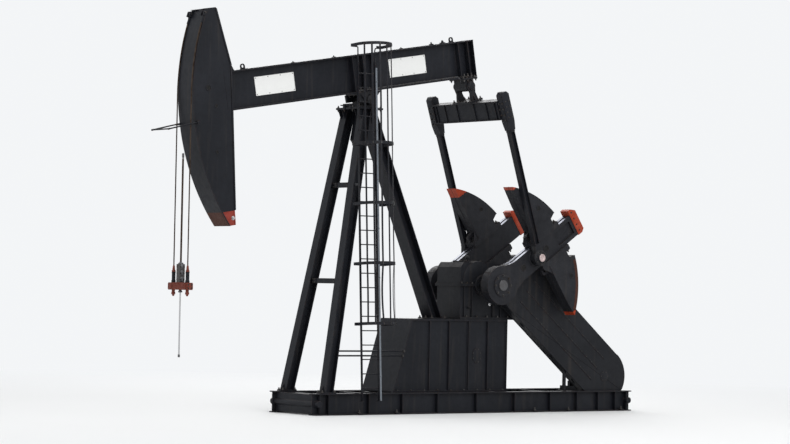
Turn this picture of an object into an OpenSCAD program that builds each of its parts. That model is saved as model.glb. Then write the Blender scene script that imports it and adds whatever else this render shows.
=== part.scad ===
// Beam pumping unit: a walking beam on a three-legged post, driven by a pair of
// cranks with fin-shaped counterweights. Millimetres. +X runs from the head to
// the tail, +Z is up and the base rests on Z = 0 below the centre bearing.

/* [Walking beam] */
// Height of the centre bearing
pivot_h = 6750; // [6400:10:7300]
// Tail-up slope of the beam
beam_tilt = 9.8; // [0:0.1:20]
// Centre bearing to the tail bearing
tail_arm = 2835; // [2600:5:3050]
// Beam beyond the tail bearing
tail_over = 280; // [220:10:360]
// Pivot line to the underside of the beam
beam_rise = 184; // [170:2:240]
// Depth of the beam
beam_depth = 826; // [720:2:940]
// Width of the beam's flanges
beam_w = 300; // [260:10:340]
// Thickness of the beam's flanges
beam_flange = 30; // [20:1:40]
// Thickness of the beam's web
beam_web = 20; // [12:1:30]
// Thickness of the beam's stiffeners
stiffener_t = 16; // [10:1:24]
// Length of each bare plate on the web
sign_length = 1020; // [600:10:1100]
// Height of each bare plate
sign_height = 400; // [300:10:500]
// Length of the saddle under the beam
saddle_l = 560; // [480:10:640]
// Radius of the centre shaft
centre_shaft_r = 60; // [45:1:75]
// Radius of the tail shaft
tail_shaft_r = 55; // [45:1:65]

/* [Head] */
// Centre bearing to the polished rod
rod_arm = 4620; // [4400:10:4900]
// Rope line in front of the curved face
rope_stand = 24; // [22:1:40]
// Width of the curved face
face_w = 570; // [560:10:620]
// Thickness of the curved face
face_t = 24; // [16:1:32]
// Width of the head's box
head_w = 460; // [400:10:500]
// Greatest depth of the head behind its face
head_deep = 1095; // [1000:5:1200]
// Curved face back to the front end of the beam
head_seat = 900; // [820:10:960]
// Top of the head above the pivot line
head_top = 2350; // [2200:10:2500]
// Bottom of the head below the pivot line
head_bottom = 2170; // [2000:10:2300]
// Height of the painted tip
tip_h = 310; // [200:10:400]
// Length of the rope guide in front of the face
guide_len = 660; // [600:10:800]
// Distance of the guide's bars from the middle
guide_y = 310; // [305:5:330]
// Radius of the guide's bars
guide_r = 15; // [10:1:18]

/* [Rod hanger] */
// Distance of each rope from the middle
rope_y = 260; // [230:5:262]
// Radius of the ropes
rope_r = 14; // [10:1:16]
// Radius of the polished rod
rod_r = 16; // [12:1:18]
// Height of the carrier bar's middle
carrier_z = 2660; // [2400:10:2900]
// Depth of the carrier bar
carrier_h = 150; // [120:10:180]
// Length of the carrier bar
carrier_l = 700; // [660:10:760]
// Lower end of the polished rod
rod_low = 1200; // [1150:10:1600]
// Upper end of the polished rod
rod_high = 5400; // [4600:10:5500]

/* [Cranks] */
// Centre bearing to the crankshaft, along the base
crank_x = 3080; // [3000:5:3200]
// Height of the crankshaft
crank_z = 2812; // [2780:2:2900]
// Angle of the cranks above level
crank_angle = 34.1; // [0:0.1:60]
// Crankshaft to the wrist pins
throw = 1120; // [1000:10:1160]
// Crankshaft to the tip of a crank
crank_len = 2680; // [2600:10:2700]
// Width of a crank's arm
crank_w = 488; // [440:2:520]
// Inner face of each crank
crank_in = 884; // [880:2:900]
// Thickness of a crank
crank_t = 235; // [200:1:245]
// Length of a crank's end cap
cap_l = 200; // [150:10:240]
// Radius of a crank's hub
hub_r = 430; // [380:5:460]
// Radius of the crankshaft
shaft_r = 120; // [100:5:140]

/* [Counterweights] */
// Thickness of a weight
weight_t = 313; // [260:1:320]
// Radius swept by the weights
weight_r = 2184; // [2100:2:2260]
// Shaft to the fin's straight edge
fin_from = 1350; // [1300:10:1400]
// Shaft to the hub end of a weight's foot
foot_from = 1170; // [1100:10:1250]
// Shaft to the tip end of a weight's foot
foot_to = 2080; // [2000:10:2150]
// Thickness of a weight's foot
foot_t = 116; // [90:2:140]
// Reach of the fin's point from the crank's middle
fin_reach = 1720; // [1600:10:1740]

/* [Pitmans] */
// Middle of each pitman
pitman_y = 1238; // [1232:2:1280]
// Section of a pitman
pitman_w = 130; // [100:2:140]
// Section of a pitman's upper block
pitman_block = 200; // [170:5:230]
// Radius of the wrist bearings
wrist_r = 165; // [140:5:190]
// Tail bearing down to the top of the equalizer
equalizer_drop = 365; // [340:5:400]
// Depth of the equalizer
equalizer_h = 430; // [360:10:480]
// Width of the equalizer
equalizer_w = 260; // [220:10:300]

/* [Post] */
// Spread of the front feet from the middle
front_foot_y = 715; // [700:5:730]
// Front feet ahead of the centre bearing
front_foot_x = 1370; // [1300:10:1400]
// Rear foot behind the centre bearing
rear_foot_x = 2010; // [1900:10:2100]
// Section of a front leg
leg_w = 215; // [200:5:220]
// Width of the rear leg across the unit
rear_leg_w = 360; // [300:10:360]
// Thickness of the rear leg
rear_leg_t = 250; // [230:10:260]
// Depth of the gusset below the post's cap
gusset_h = 800; // [600:10:900]
// Height of the lower cross bar
low_bar_z = 2835; // [2600:5:3000]
// Height of the upper cross bar
high_bar_z = 4900; // [4700:5:5100]

/* [Base] */
// Height of the lower of the two rails behind the near leg
low_rail_z = 1250; // [1000:10:1500]
// Rise from the lower rail to the upper one
rail_gap = 100; // [80:5:200]
// Distance of the rails from the middle
rail_y = 550; // [530:5:556]
// Radius of the rails
rail_r = 18; // [12:1:24]
// Height of the skid's runners
skid_h = 460; // [400:10:500]
// Middle of each runner
runner_y = 720; // [710:5:730]
// Width of a runner's flanges
runner_w = 200; // [180:5:215]
// Front end of the skid
skid_front = -1750; // [-1900:10:-1650]
// Rear end of the skid
skid_rear = 7250; // [7150:10:7400]
// Front of the pedestal's top
pedestal_front = 1020; // [950:10:1150]
// Rear of the pedestal
pedestal_rear = 3780; // [3700:10:3900]
// Height of the pedestal's top
pedestal_z = 2050; // [1950:5:2100]
// Half width of the pedestal
pedestal_y = 480; // [440:5:482]
// Forward flare of the pedestal's front at the skid
pedestal_flare = 500; // [300:10:600]

/* [Drive] */
// Half width of the reducer's case
reducer_y = 450; // [400:5:470]
// Crankshaft to the input shaft
input_dx = 750; // [700:10:850]
// Input shaft above the crankshaft
input_dz = 140; // [80:5:180]
// Inner face of the belt guard
guard_in = 490; // [486:2:520]
// Width of the belt guard
guard_t = 215; // [180:5:240]
// Radius of the belt guard's ends
guard_r = 625; // [560:5:660]
// Centre bearing to the motor's shaft
motor_x = 6500; // [6350:10:6550]
// Height of the motor's shaft
motor_z = 790; // [760:5:850]
// Radius of the motor
motor_r = 235; // [200:5:260]
// Length of the motor's body
motor_l = 640; // [500:10:720]

/* [Ladder] */
// Ladder's foot from the middle
ladder_y = 998; // [980:2:1020]
// Middle of the ladder along the unit
ladder_x = -415; // [-450:5:-380]
// Width of the ladder
ladder_w = 450; // [400:10:480]
// Lean of the ladder towards the post
ladder_lean = 3.2; // [2.5:0.1:3.6]
// Spacing of the rungs
rung_step = 305; // [280:1:320]
// Top of the ladder above the centre bearing
ladder_above = 780; // [600:10:900]
// Lowest hoop above the skid
cage_low = 1440; // [1400:10:1600]
// Spacing of the hoops
hoop_step = 1275; // [1200:5:1300]
// Reach of the cage from the ladder
cage_reach = 670; // [600:10:720]
// Width of the cage
cage_w = 800; // [700:10:820]

/* [Hidden] */
// Clearance between pieces that move past each other
gap = 6;
// Radial play of a shaft in its bearing
play = 0.05;
// Space between a piece and the curved seat that carries it
seat = 0.3;
// Reach past an edge, so that a cut goes right through
past = 100;
black = "#1d2126";
casting = "#24282d";
bearing_l = 400;
bearing_r = 115;
cap_t = 40;
cap_y = 410;
cap_front = 440;
post_top = pivot_h - 210;
front_top_x = 185;
front_top_y = 290;
gusset_y = front_top_y - leg_w / 2 + 20;
tail_half = 200;
rear_top_x = 75;
leg_t = 20;
face_r = rod_arm - rope_stand;
beam_front = face_r - head_seat;
beam_rear = tail_arm + tail_over;
sign_rise = 230;
sign_front = saddle_l * 3.186;
sign_back = saddle_l / 2 + 500;
tail_x = tail_arm * cos(beam_tilt);
tail_z = pivot_h + tail_arm * sin(beam_tilt);
pin_x = crank_x + throw * cos(crank_angle);
pin_z = crank_z + throw * sin(crank_angle);
pitman_len = norm([pin_x - tail_x, pin_z - tail_z]);
pitman_lean = atan2(pin_x - tail_x, tail_z - pin_z);
crank_mid = crank_in + crank_t / 2;
weight_in = crank_mid - weight_t / 2;
weight_out = crank_mid + weight_t / 2;
ladder_top = pivot_h + ladder_above - skid_h;
cage_top = ladder_top + 310;
rail_t = 12;
rail_deep = 64;
hoop_t = 10;
hoop_h = 64;
hoops = [for (i = [0 : 3]) cage_low + i * hoop_step];
bar_angles = [28, 54, 80, 106, 132, 157];
front_foot = [-front_foot_x, front_foot_y, skid_h];
front_head = [-front_top_x, front_top_y, post_top];
rear_foot = [rear_foot_x, 0, pedestal_z];
rear_head = [rear_top_x, 0, post_top];

// Centre bearing, with +X along the beam towards its tail
module beam_frame() {
    translate([0, 0, pivot_h]) rotate([0, -beam_tilt, 0]) children();
}

// Tail bearing, with -Z along the pitmans towards the wrist pins
module pitman_frame() {
    translate([tail_x, 0, tail_z]) rotate([0, -pitman_lean, 0]) children();
}

// Crankshaft, with +X along the cranks
module crank_frame() {
    translate([crank_x, 0, crank_z]) rotate([0, -crank_angle, 0]) children();
}

// Foot of the ladder's middle line, with +Z up along the ladder
module ladder_frame() {
    translate([ladder_x, -ladder_y, skid_h]) rotate([-ladder_lean, 0, 0]) children();
}

// Stands a flat outline up in the XZ plane, between y and y + t
module plate(y, t) {
    translate([0, y + t, 0]) rotate([90, 0, 0]) linear_extrude(height = t) children();
}

module both_sides() {
    children();
    mirror([0, 1, 0]) children();
}

module rod_y(r, y0, y1) {
    translate([0, y1, 0]) rotate([90, 0, 0]) cylinder(h = y1 - y0, r = r);
}

// Flanged section that runs along +X with its underside on Z = 0
module i_beam(len, depth, width, flange, web) {
    translate([0, -width / 2, 0]) cube([len, width, flange]);
    translate([0, -width / 2, depth - flange]) cube([len, width, flange]);
    translate([0, -web / 2, 0]) cube([len, web, depth]);
}

// Carries its children, built up along +Z, from p towards q
module along(p, q) {
    d = q - p;
    translate(p) rotate([-asin(d.y / norm(d)), atan2(d.x, d.z), 0]) children();
}

// Straight bar of rectangular section from p to q
module bar(p, q, wide, deep) {
    along(p, q) translate([-deep / 2, -wide / 2, 0]) cube([deep, wide, norm(q - p)]);
}

// Full outline of a leg from p to q, cut level at both ends
module leg_outline(p, q, across, deep) {
    d = q - p;
    intersection() {
        bar(p - 0.05 * d, q + 0.05 * d, across, deep);
        translate([-3000, -3000, p.z]) cube([9000, 6000, q.z - p.z]);
    }
}

// Flanged leg from p to q, cut level at both ends
module leg(p, q, across, deep) {
    side = (across - leg_t) / 2;
    difference() {
        leg_outline(p, q, across, deep);
        along(p - 0.1 * (q - p), q) for (y = [-across / 2 - past, leg_t / 2]) {
            translate([-deep / 2 + leg_t, y, 0]) cube([deep - 2 * leg_t, side + past, 1.2 * norm(q - p)]);
        }
    }
}

module skid_runners() {
    color(black) both_sides() {
        translate([skid_front, runner_y, 0])
            i_beam(skid_rear - skid_front, skid_h, runner_w, 24, 16);
    }
}

module skid_cross_members() {
    inner = runner_y - 8;
    flare = pedestal_front - pedestal_flare;
    places = [skid_front + 150, -front_foot_x, 0, flare + 80, (flare + pedestal_rear) / 2,
              pedestal_rear - 80, (pedestal_rear + motor_x) / 2, motor_x - 260, motor_x + 260, skid_rear - 150];
    color(black) {
        for (x = places) {
            translate([x - 60, -inner, 24]) cube([120, 2 * inner, skid_h - 48]);
        }
        translate([-100, -60, 0]) cube([200, 120, 30]);
        for (x = [motor_x - 260, motor_x + 180]) {
            translate([x, -guard_in + 30, skid_h - 24])
                cube([80, 2 * guard_in, motor_z - motor_r - 20 - skid_h + 24]);
        }
    }
}

module pedestal() {
    rise = pedestal_z - skid_h;
    slope = pedestal_flare / rise;
    color(black) {
        plate(-pedestal_y + 40, 2 * pedestal_y - 80)
            polygon([[pedestal_front - pedestal_flare, skid_h], [pedestal_rear, skid_h],
                     [pedestal_rear, pedestal_z], [pedestal_front, pedestal_z]]);
        plate(-pedestal_y - 80, 2 * pedestal_y + 160)
            polygon([[pedestal_front - pedestal_flare, skid_h], [pedestal_front - pedestal_flare + 30, skid_h],
                     [pedestal_front + 30, pedestal_z], [pedestal_front, pedestal_z]]);
        translate([pedestal_front, -pedestal_y, pedestal_z - 40])
            cube([pedestal_rear - pedestal_front, 2 * pedestal_y, 40]);
        translate([pedestal_front - pedestal_flare, -pedestal_y, skid_h])
            cube([pedestal_rear - pedestal_front + pedestal_flare, 2 * pedestal_y, 30]);
        count = 5;
        for (i = [1 : count]) {
            x = pedestal_front + i * (pedestal_rear - pedestal_front - 24) / count;
            translate([x, -pedestal_y, skid_h]) cube([24, 2 * pedestal_y, rise]);
        }
    }
}

// Two rails from the near front leg back to the front of the pedestal
module tie_rails() {
    slope = (front_foot_x - front_top_x) / (post_top - skid_h);
    color(black) difference() {
        for (z = [low_rail_z, low_rail_z + rail_gap]) {
            x = -front_foot_x + (z - skid_h) * slope;
            translate([x, -rail_y, z]) rotate([0, 90, 0]) cylinder(h = pedestal_front - x, r = rail_r);
        }
        mirror([0, 1, 0]) leg_outline(front_foot, front_head, leg_w, leg_w);
        plate(-2 * rail_y, 4 * rail_y)
            polygon([[pedestal_front - pedestal_flare, skid_h], [pedestal_rear, skid_h],
                     [pedestal_rear, pedestal_z], [pedestal_front, pedestal_z]]);
    }
}

module front_leg_near() {
    color(black) mirror([0, 1, 0]) leg(front_foot, front_head, leg_w, leg_w);
}

module front_leg_far() {
    color(black) leg(front_foot, front_head, leg_w, leg_w);
}

module rear_leg() {
    color(black) leg(rear_foot, rear_head, rear_leg_w, rear_leg_t);
}

// Fills the space between the three legs below the cap
module post_gusset() {
    front_slope = (front_foot_x - front_top_x) / (post_top - skid_h);
    rear_slope = (rear_foot_x - rear_top_x) / (post_top - pedestal_z);
    x0 = -front_top_x + leg_w / 2 / cos(atan(front_slope));
    x1 = rear_top_x - rear_leg_t / 2 / cos(atan(rear_slope));
    color(black) plate(-gusset_y, 2 * gusset_y)
        polygon([[x0, post_top], [x1, post_top], [x1 + rear_slope * gusset_h * 0.8, post_top - gusset_h * 0.8],
                 [(x0 + x1) / 2, post_top - gusset_h], [x0 - front_slope * gusset_h * 0.8, post_top - gusset_h * 0.8]]);
}

// Level bars between the webs of the two front legs
module post_bars() {
    run = front_head - front_foot;
    spread = norm(run) / norm([run.x, run.z]);
    color(black) difference() {
        for (z = [low_bar_z, high_bar_z]) {
            x = -front_foot_x + (z - skid_h) / (post_top - skid_h) * (front_foot_x - front_top_x);
            translate([x - 40, -front_foot_y, z - 55]) cube([80, 2 * front_foot_y, 110]);
        }
        both_sides() translate([0, (2 * leg_w - leg_t / 2) * spread, 0])
            leg_outline(front_foot, front_head, 4 * leg_w, 4 * leg_w);
    }
}

module post_cap() {
    color(black) translate([-cap_front, -cap_y, post_top]) cube([cap_front + 220, 2 * cap_y, cap_t]);
}

module centre_bearing() {
    low = post_top + cap_t;
    color(casting) difference() {
        union() {
            translate([-400, -bearing_l / 2, low]) cube([600, bearing_l, 44]);
            translate([-400, -bearing_l / 2, low]) cube([90, bearing_l, 84]);
            translate([-105, -bearing_l / 2, low]) cube([210, bearing_l, pivot_h - low]);
            translate([0, 0, pivot_h]) rod_y(bearing_r, -bearing_l / 2, bearing_l / 2);
        }
        translate([0, 0, pivot_h]) rod_y(centre_shaft_r + play, -bearing_l, bearing_l);
    }
}

module ladder() {
    color(black) ladder_frame() {
        for (side = [-1, 1]) {
            translate([side * ladder_w / 2 - rail_t / 2, -rail_deep / 2, -160])
                cube([rail_t, rail_deep, ladder_top + 160]);
        }
        for (z = [115 : rung_step : ladder_top]) {
            translate([-ladder_w / 2, 0, z]) rotate([0, 90, 0]) cylinder(h = ladder_w, r = 12);
        }
        translate([ladder_w / 2 + rail_t / 2, -25, -160]) cube([50, 50, ladder_top + 120]);
    }
}

module hoop_outline(wide, reach, t) {
    r = wide / 2 - t;
    translate([0, -reach + wide / 2]) circle(r = r, $fn = 48);
    translate([-r, -reach + wide / 2]) square([2 * r, reach - wide / 2]);
}

// Flat band bent round the climber, with its ends on the ladder's rails
module hoop(wide, reach) {
    linear_extrude(height = hoop_h) difference() {
        hoop_outline(wide, reach, 0);
        hoop_outline(wide, reach, hoop_t);
        translate([-wide, 0]) square([2 * wide, wide]);
    }
    inner = ladder_w / 2 + rail_t / 2;
    translate([-wide / 2, -hoop_t, 0]) cube([wide / 2 - inner, hoop_t, hoop_h]);
    translate([inner + 50, -hoop_t, 0]) cube([wide / 2 - inner - 50, hoop_t, hoop_h]);
}

module cage_hoops() {
    color(black) ladder_frame() for (z = concat(hoops, [cage_top])) {
        translate([0, 0, z]) hoop(cage_w, cage_reach);
    }
}

module cage_bars() {
    deep = 8;
    wide = 40;
    r = sqrt(pow(cage_w / 2 - hoop_t - seat, 2) - pow(wide / 2, 2)) - deep / 2;
    color(black) ladder_frame() for (a = bar_angles) {
        translate([r * cos(a), -cage_reach + cage_w / 2 - r * sin(a), cage_low])
            rotate([0, 0, -a]) translate([-deep / 2, -wide / 2, 0]) cube([deep, wide, cage_top + hoop_h - cage_low]);
    }
}

module ladder_brackets() {
    f = (high_bar_z - skid_h) / (post_top - skid_h);
    leg_x = -front_foot_x + f * (front_foot_x - front_top_x);
    leg_y = -front_foot_y + f * (front_foot_y - front_top_y);
    color(black) difference() {
        union() {
            bar([leg_x - 60, leg_y, high_bar_z],
                [ladder_x - ladder_w / 2, -ladder_y + tan(ladder_lean) * (high_bar_z - skid_h), high_bar_z], 14, 50);
            for (side = [-1, 1]) {
                translate([ladder_x + side * ladder_w / 2 - 20, -ladder_y, skid_h])
                    cube([40, ladder_y - runner_y, 14]);
            }
            head_y = -ladder_y + tan(ladder_lean) * (post_top - skid_h);
            bar([-cap_front + 30, -cap_y, post_top + 20], [ladder_x - ladder_w / 2, head_y, post_top + 20], 14, 40);
            bar([-100, -cap_y, post_top + 20], [ladder_x + ladder_w / 2, head_y, post_top + 20], 14, 40);
        }
        mirror([0, 1, 0]) leg_outline(front_foot, front_head, leg_w, leg_w);
        ladder_frame() translate([-ladder_w / 2 - rail_t / 2, -rail_deep / 2, -past])
            cube([ladder_w + rail_t + 50, rail_deep, ladder_top + 2 * past]);
        ladder_frame() translate([-500, -rail_deep / 2 - 300, -past]) cube([1200, 300, ladder_top + 2 * past]);
        translate([-cap_front, -cap_y, post_top]) cube([cap_front + 220, 2 * cap_y, cap_t]);
    }
}

module gear_reducer() {
    low = pedestal_z - crank_z;
    color("#1b1f24") translate([crank_x, 0, crank_z]) difference() {
        union() {
            plate(-reducer_y + 40, 2 * reducer_y - 80)
                polygon([[-620, low], [-620, 390], [-530, 500], [330, 500], [input_dx + 90, 400],
                         [input_dx + 330, 180], [input_dx + 330, low]]);
            plate(-reducer_y, 2 * reducer_y)
                polygon([[-650, -30], [input_dx + 360, -30], [input_dx + 360, 30], [-650, 30]]);
            plate(-reducer_y, 2 * reducer_y)
                polygon([[-650, low], [input_dx + 360, low], [input_dx + 360, low + 50], [-650, low + 50]]);
            rod_y(shaft_r + 110, -reducer_y, reducer_y);
            translate([input_dx, 0, input_dz]) rod_y(130, -reducer_y, reducer_y);
        }
        rod_y(shaft_r + play, -reducer_y - past, reducer_y + past);
    }
}

module belt_guard() {
    upper = [crank_x + input_dx, crank_z + input_dz];
    lower = [motor_x, motor_z];
    turn = atan2(lower.y - upper.y, lower.x - upper.x);
    side = guard_r * [-sin(turn), cos(turn)];
    top = upper + 240 * [cos(turn), sin(turn)];
    color("#1b1f24") difference() {
        union() {
            plate(-guard_in - guard_t, guard_t) {
                translate(top) circle(r = guard_r);
                translate(lower) circle(r = guard_r);
                polygon([top + side, lower + side, lower - side, top - side]);
            }
            translate([upper.x, 0, upper.y]) rod_y(110, -guard_in, -reducer_y);
        }
        translate([0, -1500, -1000]) cube([9000, 3000, 1000 + skid_h]);
    }
}

module motor() {
    color("#2a2e33") translate([motor_x, 0, motor_z]) {
        rod_y(motor_r, -guard_in + 140, -guard_in + 140 + motor_l);
        rod_y(35, -guard_in, -guard_in + 140);
        for (y = [-guard_in + 190, -guard_in + motor_l + 10]) {
            translate([-motor_r - 40, y, -motor_r - 20]) cube([2 * motor_r + 80, 80, 120]);
        }
        translate([motor_r - 30, -120, -60]) cube([150, 240, 200]);
    }
}

module brake() {
    color("#1b1f24") translate([crank_x + input_dx, reducer_y, crank_z + input_dz]) {
        rod_y(60, 0, 60);
        rod_y(290, 60, 200);
    }
}

module walking_beam() {
    places = [-saddle_l / 2, 0, saddle_l / 2, tail_arm - 160, tail_arm + 110, beam_rear - stiffener_t / 2];
    color(black) beam_frame() translate([0, 0, beam_rise]) {
        translate([-beam_front, 0, 0])
            i_beam(beam_front + beam_rear, beam_depth, beam_w, beam_flange, beam_web);
        for (u = places) {
            translate([u - stiffener_t / 2, -beam_w / 2 + 6, beam_flange / 2])
                cube([stiffener_t, beam_w - 12, beam_depth - beam_flange]);
        }
    }
}

module beam_saddle() {
    cheek_y = bearing_l / 2 + gap;
    cheek_t = 50;
    color(casting) beam_frame() {
        translate([-saddle_l / 2, -cheek_y - cheek_t, beam_rise - 40]) cube([saddle_l, 2 * (cheek_y + cheek_t), 40]);
        both_sides() plate(cheek_y, cheek_t) {
            circle(r = 110);
            polygon([[-300, -10], [110, -10], [260, beam_rise - 30], [-310, beam_rise - 30]]);
        }
        rod_y(centre_shaft_r, -cheek_y - 10, cheek_y + 10);
    }
}

// Side view of the head, with its face on the arc about the centre bearing
module head_outline() {
    intersection() {
        circle(r = face_r, $fn = 240);
        polygon([[-face_r - past, head_top], [-face_r + head_deep - 205, head_top],
                 [-face_r + head_deep, beam_rise + beam_depth + 110], [-face_r + head_deep - 100, beam_rise],
                 [-face_r + head_deep - 335, -head_bottom + tip_h], [-face_r + head_deep - 365, -head_bottom],
                 [-face_r - past, -head_bottom]]);
    }
}

module head_face() {
    difference() {
        head_outline();
        circle(r = face_r - face_t, $fn = 240);
    }
}

module horsehead() {
    color(black) beam_frame() difference() {
        union() {
            plate(-head_w / 2, head_w) intersection() {
                head_outline();
                translate([-2 * face_r, -head_bottom + tip_h]) square([2 * face_r, head_top + head_bottom]);
            }
            plate(-face_w / 2, face_w) head_face();
        }
        translate([-beam_front, -beam_w / 2, beam_rise]) cube([beam_front, beam_w, beam_depth]);
    }
}

module head_tip() {
    color("#b3301f") beam_frame() {
        plate(-head_w / 2, head_w) difference() {
            intersection() {
                head_outline();
                translate([-2 * face_r, -head_bottom]) square([2 * face_r, tip_h]);
            }
            head_face();
        }
    }
}

// Open frame of bars that keeps the ropes in line in front of the face
module rope_guide() {
    lean = -4;
    color(black) beam_frame() translate([-face_r, 0, 50]) rotate([0, lean, 0]) {
        both_sides() {
            translate([-guide_len, guide_y, 0]) rotate([0, 90, 0]) cylinder(h = guide_len + 60, r = guide_r);
            translate([40, head_w / 2, -30]) cube([60, guide_y + guide_r - head_w / 2, 60]);
        }
        translate([-guide_len, 0, 0]) rod_y(guide_r, -guide_y, guide_y);
    }
}

module name_plates() {
    color("#e8e8e4") beam_frame() both_sides() {
        for (u = [-sign_front - sign_length, sign_back]) {
            translate([u, beam_web / 2, beam_rise + sign_rise]) cube([sign_length, 6, sign_height]);
        }
    }
}

module lifting_eyes() {
    color(casting) beam_frame() for (u = [-beam_front + 640, tail_arm - 235]) {
        translate([u, 0, beam_rise + beam_depth]) plate(-15, 30) difference() {
            union() {
                translate([-55, 0]) square([110, 60]);
                translate([0, 60]) circle(r = 55);
            }
            translate([0, 60]) circle(r = 32);
        }
    }
}

module tail_bearing() {
    color(casting) beam_frame() translate([tail_arm, 0, 0]) difference() {
        union() {
            rod_y(120, -tail_half, tail_half);
            translate([-120, -tail_half, 0]) cube([240, 2 * tail_half, beam_rise]);
            translate([-200, -tail_half - 50, beam_rise - 36]) cube([400, 2 * tail_half + 100, 36]);
        }
        rod_y(tail_shaft_r + play, -tail_half - past, tail_half + past);
    }
}

module head_ropes() {
    color("#6b6e70") beam_frame() both_sides() {
        translate([0, rope_y, 0]) rotate([90, 0, 0]) rotate([0, 0, 180 - 29])
            rotate_extrude(angle = 29 - beam_tilt) translate([face_r + rope_r, 0]) circle(r = rope_r);
    }
}

module equalizer() {
    end_y = pitman_y - pitman_block / 2;
    low = -equalizer_drop - equalizer_h;
    color(black) pitman_frame() {
        translate([-equalizer_w / 2 + 30, -end_y, low]) cube([equalizer_w - 60, 2 * end_y, equalizer_h]);
        for (z = [low, -equalizer_drop - 24]) {
            translate([-equalizer_w / 2, -end_y, z]) cube([equalizer_w, 2 * end_y, 24]);
        }
        both_sides() translate([-equalizer_w / 2, end_y - 24, low]) cube([equalizer_w, 24, equalizer_h]);
    }
}

module equalizer_yoke() {
    cheek_y = tail_half + gap;
    cheek_t = 50;
    plate_z = -equalizer_drop + 40;
    color(casting) pitman_frame() {
        translate([-190, -310, -equalizer_drop]) cube([380, 620, 40]);
        both_sides() plate(cheek_y, cheek_t) {
            circle(r = 105);
            polygon([[-105, 0], [105, 0], [70, -160], [110, plate_z], [-110, plate_z], [-70, -160]]);
        }
        rod_y(tail_shaft_r, -cheek_y - cheek_t - 20, cheek_y + cheek_t + 20);
    }
}

module pitman() {
    half = pitman_w / 2;
    block = pitman_block / 2;
    low = -equalizer_drop - equalizer_h;
    pitman_frame() difference() {
        union() {
            translate([-half, pitman_y - half, -pitman_len]) cube([pitman_w, pitman_w, pitman_len - equalizer_drop]);
            plate(pitman_y - block, pitman_block)
                polygon([[-block, -equalizer_drop + 120], [-block + 60, -equalizer_drop + 180],
                         [block - 60, -equalizer_drop + 180], [block, -equalizer_drop + 120], [block, low - 60],
                         [half, low - 260], [-half, low - 260], [-block, low - 60]]);
        }
        for (y = [pitman_y - half - past, pitman_y + 8]) {
            translate([-half + 14, y, -pitman_len + wrist_r + 120])
                cube([pitman_w - 28, half - 8 + past, pitman_len - wrist_r - 420 + low]);
        }
        translate([0, 0, -pitman_len]) rod_y(wrist_r, 0, 2000);
    }
}

module pitman_near() {
    color(black) mirror([0, 1, 0]) pitman();
}

module pitman_far() {
    color(black) pitman();
}

module wrist_bearings() {
    color(casting) pitman_frame() translate([0, 0, -pitman_len]) both_sides() {
        rod_y(wrist_r, weight_out + gap, pitman_y + 75);
        rod_y(100, weight_out + gap, pitman_y + 120);
    }
}

module crankshaft() {
    out = weight_out - 8;
    color("#3a3d40") translate([crank_x, 0, crank_z]) rod_y(shaft_r, -out, out);
}

module crank_arm() {
    crank_frame() difference() {
        union() {
            plate(crank_in, crank_t) {
                circle(r = hub_r);
                polygon([[-120, -hub_r + 8], [560, -crank_w / 2], [crank_len - cap_l, -crank_w / 2],
                         [crank_len - cap_l, crank_w / 2], [560, crank_w / 2], [-120, hub_r - 8]]);
            }
            rod_y(shaft_r + 110, crank_in - 60, crank_in + 1);
            translate([throw, 0, 0]) rod_y(130, crank_in + crank_t - 1, weight_out);
        }
        rod_y(shaft_r + play, crank_in - past, weight_out + past);
        for (side = [-1, 1]) {
            translate([480, crank_mid - 28, side * crank_w / 2 - 30]) cube([crank_len, 56, 60]);
        }
        translate([crank_len - cap_l - 620, 0, 0]) plate(crank_in + crank_t - 50, past)
            polygon([[0, -crank_w / 2 + 90], [540, -crank_w / 2 + 90], [540, crank_w / 2 - 90], [0, crank_w / 2 - 90]]);
    }
}

module crank_near() {
    color(black) mirror([0, 1, 0]) crank_arm();
}

module crank_far() {
    color(black) crank_arm();
}

module crank_caps() {
    half = crank_w / 2;
    color("#d4572a") crank_frame() both_sides() plate(crank_in - 12, crank_t + 24)
        translate([crank_len - cap_l, 0])
            polygon([[0, -half - 16], [120, -half - 16], [cap_l, -half + 40], [cap_l, half + 26],
                     [80, half + 120], [0, half + 120]]);
}

// Fin-shaped weight clamped on the upper rail of a crank
module weight() {
    foot_n = crank_w / 2 + seat;
    crank_frame() {
        plate(weight_in, weight_t) {
            translate([foot_from, foot_n]) square([foot_to - foot_from, foot_t]);
            intersection() {
                circle(r = weight_r, $fn = 240);
                polygon([[fin_from, foot_n], [foot_to - 130, foot_n], [foot_to - 130, foot_n + 256],
                         [foot_to, foot_n + 316], [weight_r, foot_n + 316], [weight_r, fin_reach],
                         [fin_from + 30, fin_reach], [fin_from, fin_reach - 500]]);
            }
        }
        plate(crank_mid - 40, 80) difference() {
            polygon([[foot_from, foot_n], [fin_from + 10, foot_n], [fin_from + 10, foot_n + 296],
                     [foot_from, foot_n + 256]]);
            translate([foot_from + 95, foot_n + 175]) circle(r = 52);
        }
    }
}

module weight_far_upper() {
    color(black) weight();
}

module weight_near_upper() {
    color(black) mirror([0, 1, 0]) weight();
}

module lower_weight() {
    crank_frame() mirror([0, 0, 1]) rotate([0, crank_angle, 0]) translate([-crank_x, 0, -crank_z]) weight();
}

module weight_far_lower() {
    color(black) lower_weight();
}

module weight_near_lower() {
    color(black) mirror([0, 1, 0]) lower_weight();
}

module hanger_ropes() {
    color("#6b6e70") both_sides() translate([-rod_arm, rope_y, carrier_z])
        cylinder(h = pivot_h - 0.5 - carrier_z, r = rope_r);
}

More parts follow.
